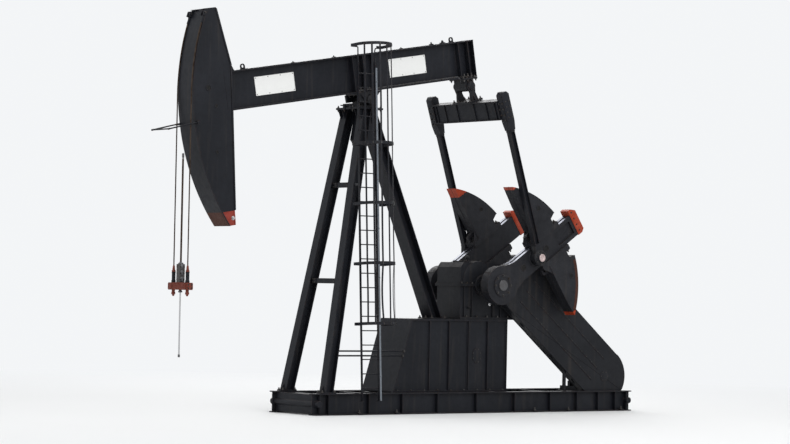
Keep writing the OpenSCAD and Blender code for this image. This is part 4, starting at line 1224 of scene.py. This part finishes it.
class UNIT_OT_cranks(bpy.types.Operator):
    """Fit the cranks: machined rails with a painted sky tint, hub covers, wrist bosses, end cap faces, bolts
    and weight clamps
    """

    bl_idname = "unit.cranks"
    bl_label = "Crank Fittings"

    def execute(self, context):
        s = sizes()
        rails, fit, hole_shades, straps, shaft, caps = (Shape(CRANK) for _ in range(6))
        edges = ([(0.41, 0.2833), (0.56, 0.2442), (1.166, 0.2442)], [(2.086, 0.2442), (2.472, 0.2442)])
        spots, heavy, clamps = [], [], []
        for side in BOTH:
            # the rails on both sides of the slot, along the crank's upper and lower edge: machined steel
            # whose blue-grey tint is a painted reflection of the sky
            for sign in BOTH:
                for y0, y1 in ((0.892, CRANK_MID - 0.031), (CRANK_MID + 0.031, 1.111)):
                    for run in edges:
                        upper = [(x, sign * (z + 0.0022)) for x, z in run]
                        lower = [(x, sign * (z - 0.004)) for x, z in reversed(run)]
                        rails.slab(upper + lower, side * y0, side * y1)
            face, out = side * 1.119, (0, side, 0)
            fit.turned((0, face, 0), out, [(0, 0.25), (0.018, 0.25), (0.024, 0.244), (0.024, 0.19),
                                           (0.012, 0.185), (0.012, 0.13)], 48)
            # split of the hub with its clamp bolts
            fit.block((-0.425, side * 0.92, -0.11), (-0.31, side * 1.06, 0.11))
            heavy += [((-0.37, side * y, z), aim)
                      for z, aim in ((-0.11, DOWN), (0.11, UP)) for y in (0.95, 1.03)]
            spots += bolt_ring((0, side * 1.1425, 0), side, 0.218, 8, 0.2)
            # ring round the wrist boss
            fit.turned((1.12, face, 0), out, [(0, 0.19), (0.012, 0.186), (0.02, 0.16), (0.024, 0.13)], 40)
            # spare wrist pin holes, each a rim round a flat dark disc of painted shade
            for x in (0.72, 1.50):
                fit.ring((x, side * 1.1185, 0), 0.072, 0.010, 36, 8)
                hole_shades.rod((x, side * 1.09, 0), (x, side * 1.1205, 0), 0.068, 28)
            # bolts of the end cap
            spots += [((2.545, side * 1.131, z), out) for z in (-0.17, -0.02, 0.13, 0.29)]
            # weight clamps: plates on the foot, nuts on the studs of the slot
            for sign in BOTH:
                foot, top = sign * 0.3603, sign * 0.3743
                for x in (1.235, 2.025):
                    for y in (side * CRANK_MID - 0.105, side * CRANK_MID + 0.105):
                        straps.block((x - 0.042, y - 0.04, min(foot, top)),
                                     (x + 0.042, y + 0.04, max(foot, top)))
                        clamps.append(((x, y, top), (0, 0, sign)))
            shaft.turned((0, side * 1.1495, 0), out, [(0, 0.118), (0.006, 0.112), (0.006, 0.02)], 40)
            shaft.block((-0.02, side * 1.12, 0.10), (0.02, side * 1.152, 0.128))
            for y0, y1 in ((1.130, 1.137), (0.866, 0.8725)):
                caps.slab([(2.50, -0.245), (2.595, -0.245), (2.66, -0.19), (2.66, 0.25), (2.56, 0.345),
                           (2.50, 0.345)], side * y0, side * y1)
        rails.done("machined_rails", "rail_steel_sky_tint", "crank")
        fit.done("crank_fittings", "casting_paint", "crank", 0.004)
        hole_shades.done("spare_pin_hole_shades", "rubber", "crank", slot="casting_paint")
        bolts("crank_bolts", spots, "crank", s.bolt, CRANK, seed=61)
        bolts("hub_clamp_bolts", heavy, "crank", s.anchor, CRANK, seed=62, stud=1.4)
        straps.done("weight_clamp_plates", "casting_paint", "crank", 0.003)
        bolts("weight_clamp_nuts", clamps, "crank", 0.028, CRANK, seed=63, stud=0.9)
        shaft.done("crankshaft_ends", "shaft_steel", "crank", 0.002)
        caps.done("crank_cap_faces", "orange_paint", "crank", 0.004)
        return {"FINISHED"}


class UNIT_OT_weights(bpy.types.Operator):
    """Finish the counterweights: painted tips, rusty rim, lifting holes of painted shade, parting line and
    foot ribs
    """

    bl_idname = "unit.weights"
    bl_label = "Counterweights"

    def execute(self, context):
        low, high = 0.845, 1.158
        tips, rim, marks, hole_shades = (Shape(CRANK) for _ in range(4))
        for side, edge, sign, seed in ((1, 1.46, 1, 2), (-1, 1.615, 1, 3), (-1, 1.6, -1, 4), (1, 1.6, -1, 5)):
            tips.slab(fin_tip(edge, seed, sign), side * (low - 0.0015), side * (high + 0.0015))
        tips.done("painted_fin_tips", "orange_paint", "crank")
        for side in BOTH:
            outer = arc((0, 0), 2.1852, -17.2, -47.8, 40)
            chance = random.Random(9)
            inner = [(x + chance.uniform(-0.008, 0.008), z + chance.uniform(-0.008, 0.008))
                     for x, z in arc((0, 0), 2.105, -47.8, -17.2, 40)]
            rim.slab(outer + inner, side * 1.10, side * 1.1592)
        rim.done("rusty_rim", "rim_rust", "crank", slot="casting_paint")
        for side in BOTH:
            for sign in BOTH:
                # lifting holes: a rim ring round a flat dark disc of painted shade
                for face, out in ((low, -side), (high, side)):
                    y, z = side * face, sign * 0.89
                    marks.ring((1.77, y, z), 0.052, 0.009, 32, 8)
                    a, b = sorted((y - out * 0.02, y + out * 0.0022))
                    hole_shades.rod((1.77, a, z), (1.77, b, z), 0.047, 24)
                # parting line round the casting
                middle = side * CRANK_MID
                marks.follow([(x, middle, sign * z) for x, z in arc((0, 0), 2.184, 17.5, 50.7, 40)], 0.006, 6)
                marks.follow([(1.3795, middle, sign * 1.69), (1.35, middle, sign * 1.22),
                              (1.35, middle, sign * 0.55)], 0.006, 6)
                # ribs between the foot and the fin
                for y in (0.87, 1.135):
                    marks.slab([(1.352, sign * 0.362), (1.19, sign * 0.362), (1.352, sign * 0.56)],
                               side * (y - 0.012), side * (y + 0.012))
        marks.done("weight_castings", "weight_paint", "crank")
        hole_shades.done("weight_lifting_hole_shades", "rubber", "crank", slot="casting_paint")
        return {"FINISHED"}


class UNIT_OT_linkage(bpy.types.Operator):
    """Fit the equalizer, the pitmans, the tail yoke and the wrist bearings"""

    bl_idname = "unit.linkage"
    bl_label = "Equalizer And Pitmans"

    def execute(self, context):
        s = sizes()
        self.equalizer(s)
        self.yoke()
        wrist, pin, spots = Shape(WRIST_END), Shape(WRIST_END), []
        for side in BOTH:
            out = (0, side, 0)
            wrist.turned((0, side * 1.17, 0), out, [
                (0, 0.150), (0.006, 0.176), (0.134, 0.176), (0.143, 0.168), (0.15, 0.15), (0.158, 0.14)], 48)
            wrist.turned((0, side * 1.31, 0), out, [(0, 0.12), (0.02, 0.12), (0.03, 0.108), (0.044, 0.1)], 40)
            spots += bolt_ring((0, side * 1.326, 0), side, 0.137, 8, 0.39)
            # nut on the wrist pin, with its bright face
            pin.turned((0, side * 1.356, 0), out, [(0, 0.084), (0.012, 0.084), (0.016, 0.080), (0.016, 0.050),
                                                   (0.006, 0.046)], 40)
            # neck between the arm and the housing
            wrist.slab([(-0.066, 0.30), (0.066, 0.30), (0.12, 0.13), (-0.12, 0.13)],
                       side * (PITMAN_Y - 0.066), side * (PITMAN_Y + 0.066))
        wrist.done("wrist_housings", "machine_paint", "equalizer", 0.002)
        pin.done("wrist_pin_faces", "pin_steel", "equalizer", 0.0015, slot="machine_paint")
        bolts("wrist_cover_bolts", spots, "equalizer", 0.012, WRIST_END, seed=75)
        return {"FINISHED"}

    def equalizer(self, s):
        """The equalizer's stiffeners and the pitmans' heads, collars and welds."""
        low, high, half = -0.795, -0.365, 0.1012
        fit, welds, spots, heavy = Shape(PITMAN), Shape(PITMAN), [], []
        for side in BOTH:
            middle = side * PITMAN_Y
            for y in (side * 0.30, side * 0.72, side * 1.02):
                for x in (-0.124, 0.099):
                    fit.block((x, y - 0.006, low + 0.023), (x + 0.025, y + 0.006, high - 0.023))
            for z in (low + 0.025, high - 0.025):
                for x in (-0.101, 0.101):
                    welds.bead((x, side * 0.02, z), (x, side * 1.138, z))
            # rounded blocks at the pitmans' heads
            fit.slab(arc((0, -0.287), half, 0, 180, 18) + [(-half, -0.855), (half, -0.855)],
                     middle - half, middle + half)
            heavy += [((x, middle + off, z), (math.copysign(1, x), 0, 0))
                      for z in (-0.43, -0.56, -0.69, -0.81) for x in (-half, half) for off in (-0.052, 0.052)]
            spots += [((x, side * (PITMAN_Y + half), z), (0, side, 0))
                      for z in (-0.40, -0.52, -0.64, -0.76) for x in (-0.05, 0.05)]
            # clamp collars where the arms enter the heads and the wrist housings
            for z in (-1.10, -3.70):
                fit.block((-0.071, middle - 0.071, z), (0.071, middle + 0.071, z + 0.04))
            for x in (-0.052, 0.052):
                for y in (middle - 0.009, middle + 0.009):
                    welds.bead((x, y, -1.06), (x, y, -3.66), 0.5)
        fit.done("equalizer_fittings", "frame_paint", "equalizer", 0.004)
        welds.done("equalizer_welds", "weld_paint", "equalizer", smooth=60)
        bolts("pitman_head_bolts", heavy, "equalizer", s.bolt, PITMAN, seed=71)
        bolts("pitman_side_bolts", spots, "equalizer", 0.014, PITMAN, seed=72)

    def yoke(self):
        """The covers, bolts and ribs of the tail bearing's yoke."""
        yoke, spots, heavy = Shape(PITMAN), [], []
        for side in BOTH:
            y = side * 0.256
            yoke.turned((0, y, 0), (0, side, 0), [(0, 0.10), (0.01, 0.10), (0.016, 0.094), (0.016, 0.07),
                                                  (0.022, 0.066)], 36)
            spots += bolt_ring((0, side * 0.272, 0), side, 0.083, 6)
            heavy += [((x, side * off, -0.325), UP) for x in (-0.155, 0.155) for off in (0.13, 0.278)]
            # ribs beside the cheeks
            yoke.loft([[(x, y, -0.325), (x, side * 0.306, -0.325), (x, y, -0.20)] for x in (-0.012, 0.012)])
        yoke.done("yoke_fittings", "machine_paint", "equalizer", 0.003)
        bolts("yoke_bolts", heavy, "equalizer", 0.026, PITMAN, seed=73, stud=1.2)
        bolts("yoke_cover_bolts", spots, "equalizer", 0.009, PITMAN, seed=74)


class UNIT_OT_reducer(bpy.types.Operator):
    """Finish the reducer: rounded cover, ribs, bearing covers, breather, sight glass, drain and brake drum"""

    bl_idname = "unit.reducer"
    bl_label = "Gear Reducer"

    def execute(self, context):
        case, spots, heavy = Shape(REDUCER), [], []
        for x, z, r in ((-0.12, 0.09, 0.435), (0.72, 0.07, 0.315)):
            case.slab(arc((x, z), r, 0, 180, 28) + [(x - r, 0.03), (x + r, 0.03)], -0.424, 0.424)
        for side in BOTH:
            for x in (-0.52, -0.30, 0.30, 0.52, 0.95):
                case.slab([(x - 0.012, -0.712), (x + 0.012, -0.712), (x + 0.012, -0.03), (x - 0.012, -0.03)],
                          side * 0.41, side * 0.444)
            for x, z, r in ((0.0, 0.0, 0.225), (0.40, 0.05, 0.125), (0.75, 0.14, 0.125)):
                case.turned((x, side * 0.40, z), (0, side, 0), [
                    (0, r), (0.054, r), (0.062, r - 0.01), (0.062, r * 0.62), (0.056, r * 0.6)], 44)
                spots += bolt_ring((x, side * 0.462, z), side, r * 0.82, 8, 0.3)
            # bolts along the upper flange, and below every other one along the foot
            for i in range(12):
                for z in (0.03, -0.712)[:1 + i % 2]:
                    heavy.append(((-0.60 + i * 0.148, side * 0.434, z), UP))
        case.slab([(-0.33, 0.50), (0.13, 0.50), (0.13, 0.532), (-0.33, 0.532)], -0.24, 0.24)
        # the cover's screws stand round the breather
        spots += [((x, y, 0.532), UP) for x in (-0.31, -0.1, 0.11) for y in (-0.21, 0.0, 0.21)
                  if (x, y) != (-0.1, 0.0)]
        case.turned((-0.1, 0, 0.53), UP, [(0, 0.02), (0.05, 0.02), (0.055, 0.042), (0.11, 0.042),
                                          (0.125, 0.02)], 20)
        case.turned((-0.40, -0.41, -0.50), (0, -1, 0), [(0, 0.03), (0.05, 0.03), (0.055, 0.02),
                                                        (0.075, 0.02)], 6)
        case.done("reducer_castings", "machine_paint", "frame", 0.005)
        glass = Shape(REDUCER).turned((0.22, -0.41, -0.42), (0, -1, 0), [
            (0, 0.04), (0.014, 0.04), (0.018, 0.034), (0.018, 0.026), (0.01, 0.024)], 28)
        glass.done("oil_sight_glass", "rod_steel", "frame", slot="machine_paint")
        bolts("reducer_bolts", spots, "frame", 0.014, REDUCER, seed=81, slot="machine_paint")
        bolts("reducer_flange_bolts", heavy, "frame", 0.020, REDUCER, seed=82, stud=1.1, slot="machine_paint")
        drum = Shape(BRAKE).turned((0, 0.515, 0), ALONG_Y, [
            (0, 0.262), (0.004, 0.294), (0.016, 0.294), (0.016, 0.286), (0.119, 0.286), (0.119, 0.294),
            (0.131, 0.294), (0.135, 0.262), (0.12, 0.25), (0.12, 0.12), (0.138, 0.11), (0.15, 0.06)], 56)
        drum.done("brake_drum", "shaft_steel", "frame", slot="machine_paint")
        band = Shape(BRAKE)
        band.slab(arc((0, 0), 0.302, -60, 225, 56) + arc((0, 0), 0.2945, 225, -60, 56), 0.54, 0.625)
        band.rod((0.18, 0.58, -0.27), (-0.2, 0.58, -0.23), 0.014, 12)
        band.done("brake_band", "machine_paint", "frame")
        return {"FINISHED"}


class UNIT_OT_guard(bpy.types.Operator):
    """Finish the belt guard: rolled rims, ribs, hinges, latches, rivets and its support"""

    bl_idname = "unit.guard"
    bl_label = "Belt Guard"

    def execute(self, context):
        guard, spots = Shape(), []
        # the guard's two ends, the directions along and across it, and its half width
        shaft, lower, r = Vector((3.83, 2.952)), Vector((6.5, 0.79)), 0.625
        face = -0.7045
        d = (lower - shaft).normalized()
        n = Vector((-d.y, d.x))
        upper = shaft + d * 0.24
        turn = math.degrees(math.atan2(d.y, d.x))
        outline = arc(upper, r, turn + 90, turn + 270, 40)
        foot = [p for p in arc(lower, r, turn - 90, turn + 90, 60) if p[1] > 0.468]
        tail = [p for p in foot if (Vector(p) - lower).dot(n) > -r * 0.2 or p[0] > 6.6]
        back = (upper - n * r, lower - n * r - d * 0.3)
        for y in (-0.702, -0.493):
            for rim in (reversed(outline + tail), back):
                guard.follow([(p[0], y, p[1]) for p in rim], 0.011, 8)
        for off in (-0.30, 0.0, 0.30):
            ends = (upper + n * off + d * 0.15, lower + n * off - d * 0.25)
            guard.loft([[(p.x + n.x * w, face - h, p.y + n.y * w) for w, h in
                         ((-0.02, 0), (-0.012, 0.010), (0.012, 0.010), (0.02, 0))] for p in ends])
            rivets = [upper + n * off + d * (0.2 + k * 0.19) for k in range(16)]
            spots += [((p.x, face - 0.01, p.y), (0, -1, 0)) for p in rivets if (lower - p).dot(d) > 0.3]
        # hinges and latches along both straight edges
        for t, side in ((0.4, 1), (1.3, 1), (2.2, 1), (3.0, 1), (0.6, -1), (1.7, -1), (2.6, -1)):
            p = upper + d * t + n * (r + 0.006) * side
            guard.follow([((p + d * w).x, -0.60, (p + d * w).y) for w in (-0.06, 0.06)], 0.014, 10)
        # support down to the skid
        p = upper + d * 2.21 - n * (r - 0.02)
        guard.block((p.x - 0.03, -0.66, 0.458), (p.x + 0.03, -0.60, max(p.y, 0.5)))
        guard.block((p.x - 0.07, -0.72, 0.458), (p.x + 0.07, -0.56, 0.472))
        for end, size, screws in ((shaft, 0.17, (0.145, 8)), (lower, 0.12, (0.1, 6))):
            disc = [(0, size), (0.008, size), (0.012, size - 0.008)]
            guard.turned((end.x, -0.704, end.y), (0, -1, 0), disc, 40)
            spots += bolt_ring((end.x, face - 0.011, end.y), -1, *screws)
        guard.done("belt_guard_trim", "machine_paint", "frame", smooth=50)
        bolts("belt_guard_rivets", spots, "frame", 0.009, seed=91, stud=0.1, slot="machine_paint")
        return {"FINISHED"}


class UNIT_OT_motor(bpy.types.Operator):
    """Finish the motor: cooling fins, end bells, fan cover, terminal box, eye and feet"""

    bl_idname = "unit.motor"
    bl_label = "Motor"

    def execute(self, context):
        motor = Shape(MOTOR)
        motor.turned((0, -0.352, 0), ALONG_Y, [
            (0, 0.10), (0.006, 0.15), (0.03, 0.215), (0.036, 0.243), (0.07, 0.243)], 56)
        motor.turned((0, 0.17, 0), ALONG_Y, [
            (0, 0.243), (0.05, 0.243), (0.055, 0.238), (0.10, 0.234), (0.125, 0.20), (0.128, 0.04)], 56)
        for k in range(7):
            motor.ring((0, 0.294, 0), 0.05 + 0.022 * k, 0.004, 40, 6)
        motor.slab([(0.208, -0.07), (0.36, -0.07), (0.36, 0.148), (0.208, 0.148)], -0.126, 0.126)
        motor.slab([(0.36, -0.055), (0.372, -0.055), (0.372, 0.133), (0.36, 0.133)], -0.111, 0.111)
        motor.ring((0, -0.03, 0.285), 0.035, 0.010, 28, 8)
        motor.rod((0, -0.03, 0.22), (0, -0.03, 0.256), 0.018, 14)
        motor.done("motor_shell", "machine_paint", "frame", 0.002)
        spots = [((x, y, -0.135), UP) for y in (-0.26, 0.17) for x in (-0.245, 0.245)]
        spots += [((0.372, y, z), (1, 0, 0)) for y in (-0.09, 0.09) for z in (-0.03, 0.11)]
        bolts("motor_bolts", spots, "frame", 0.014, MOTOR, seed=95, slot="machine_paint")
        fins = placed("motor_fins", bpy.data.meshes.new("motor_fins"))
        fins.data.from_pydata([(0, 0, 0)], [], [])
        grown(fins, "Cooling fins", fin_tree, {
            "Count": sizes().fins, "Radius": 0.243, "Length": 0.42, "Height": 0.028,
            "Material": look("machine_paint")})
        # the ring is made flat, about Z, so it is stood up about Y
        fins.data.transform(MOTOR @ Matrix.Translation((0, -0.06, 0)) @ Matrix.Rotation(math.pi / 2, 4, "X"))
        dress(fins, "machine_paint", "frame", None, 30)
        return {"FINISHED"}


BACKDROP = (0.90, 0.915, 0.93, 1)


class UNIT_OT_stage(bpy.types.Operator):
    """Set the floor, the lamps, the world and the camera"""

    bl_idname = "unit.stage"
    bl_label = "Stage"

    def execute(self, context):
        self.floor()
        self.world()
        self.lamp("Key", (-3, -29, 21), 26, 6000)
        self.lamp("Fill", (-26, 2, 14), 22, 1400)
        self.lamp("Back", (16, 22, 20), 22, 4000)
        self.lamp("Top", (2, 0, 26), 24, 2700)
        self.camera()
        context.scene.view_settings.view_transform = "Standard"
        return {"FINISHED"}

    def floor(self):
        floor = bmesh.new()
        bmesh.ops.create_circle(floor, cap_ends=True, segments=96, radius=160)
        mesh = bpy.data.meshes.new("floor")
        floor.to_mesh(mesh)
        floor.free()
        ground = placed("floor", mesh)
        material, t, shader = material_start("Floor")
        shader.inputs["Base Color"].default_value = (0.80, 0.80, 0.79, 1)
        shader.inputs["Roughness"].default_value = 0.9
        # far from the unit the floor melts into the backdrop
        reach = t.add("ShaderNodeVectorMath", operation="LENGTH")
        t.link(t.add("ShaderNodeTexCoord").outputs["Object"], reach.inputs[0])
        far = t.spread(reach.outputs["Value"], 9.0, 26.0)
        glow = t.add("ShaderNodeEmission", in_Color=BACKDROP, in_Strength=1.0)
        t.shader_mix(far, shader, glow, "Material Output")
        mesh.materials.append(material)

    def world(self):
        """A dim sky that lights the unit, with the pale backdrop where it is seen."""
        world = bpy.data.worlds.new("Studio")
        bpy.context.scene.world = world
        world.use_nodes = True
        t = Tree(world.node_tree)
        plain = world.node_tree.nodes["Background"]
        plain.inputs["Color"].default_value = (0.86, 0.89, 0.94, 1)
        plain.inputs["Strength"].default_value = 0.42
        shown = t.add("ShaderNodeBackground", in_Color=BACKDROP, in_Strength=1.0)
        path = t.add("ShaderNodeLightPath")
        seen = t.math("MAXIMUM", path.outputs["Is Camera Ray"], path.outputs["Is Transmission Ray"])
        seen = t.math("MAXIMUM", seen, path.outputs["Is Glossy Ray"])
        t.shader_mix(seen, plain, shown, "World Output")

    def lamp(self, name, spot, size, power):
        """A square lamp that points at the unit's middle."""
        lamp = bpy.data.lights.new(name, "AREA")
        lamp.shape = "SQUARE"
        lamp.size = size
        lamp.energy = power
        obj = placed(name, lamp)
        obj.location = spot
        obj.rotation_euler = (Vector((0.8, 0, 4)) - Vector(spot)).to_track_quat("-Z", "Y").to_euler()

    def camera(self):
        """The photograph's viewpoint, turned so that the whole unit fills the frame."""
        spot = Vector((-34.785, -46.245, 2.704))
        aim = Vector((0.92, 0.0, 4.15))
        ahead = (aim - spot).normalized()
        roll = math.radians(1.133)
        level = ahead.cross(Vector(UP)).normalized()
        above = level.cross(ahead)
        right = level * math.cos(roll) + above * math.sin(roll)
        up = above * math.cos(roll) - level * math.sin(roll)
        data = bpy.data.cameras.new("Camera")
        data.sensor_width = 36
        data.lens = 122
        data.clip_end = 600
        camera = placed("Camera", data)
        camera.matrix_world = Matrix.Translation(spot) @ Matrix((right, up, -ahead)).transposed().to_4x4()
        bpy.context.scene.camera = camera


class UNIT_PT_panel(bpy.types.Panel):
    """Lists the steps that dress the unit"""

    bl_label = "Pumping Unit"
    bl_idname = "UNIT_PT_panel"
    bl_space_type = "VIEW_3D"
    bl_region_type = "UI"
    bl_category = "Pumping Unit"

    def draw(self, context):
        layout = self.layout
        for group in (context.scene.unit_finishes, context.scene.unit_sizes):
            box = layout.box()
            for key in group.bl_rna.properties.keys():
                if key not in ("rna_type", "name"):
                    box.prop(group, key)
        for step in STEPS:
            layout.operator(step.bl_idname)


STEPS = (
    UNIT_OT_frame_finish, UNIT_OT_ropes, UNIT_OT_rope_anchors, UNIT_OT_carrier, UNIT_OT_head, UNIT_OT_beam,
    UNIT_OT_guide, UNIT_OT_post, UNIT_OT_ladder, UNIT_OT_base, UNIT_OT_cranks, UNIT_OT_weights,
    UNIT_OT_linkage, UNIT_OT_reducer, UNIT_OT_guard, UNIT_OT_motor, UNIT_OT_stage,
)
CLASSES = (UnitFinishes, UnitSizes) + STEPS + (UNIT_PT_panel,)


def register():
    for cls in CLASSES:
        bpy.utils.register_class(cls)
    bpy.types.Scene.unit_finishes = bpy.props.PointerProperty(type=UnitFinishes)
    bpy.types.Scene.unit_sizes = bpy.props.PointerProperty(type=UnitSizes)


def unregister():
    del bpy.types.Scene.unit_sizes
    del bpy.types.Scene.unit_finishes
    for cls in reversed(CLASSES):
        bpy.utils.unregister_class(cls)


def main():
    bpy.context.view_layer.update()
    register()
    for step in STEPS:
        group, call = step.bl_idname.split(".")
        getattr(getattr(bpy.ops, group), call)()


if __name__ == "__main__":
    main()
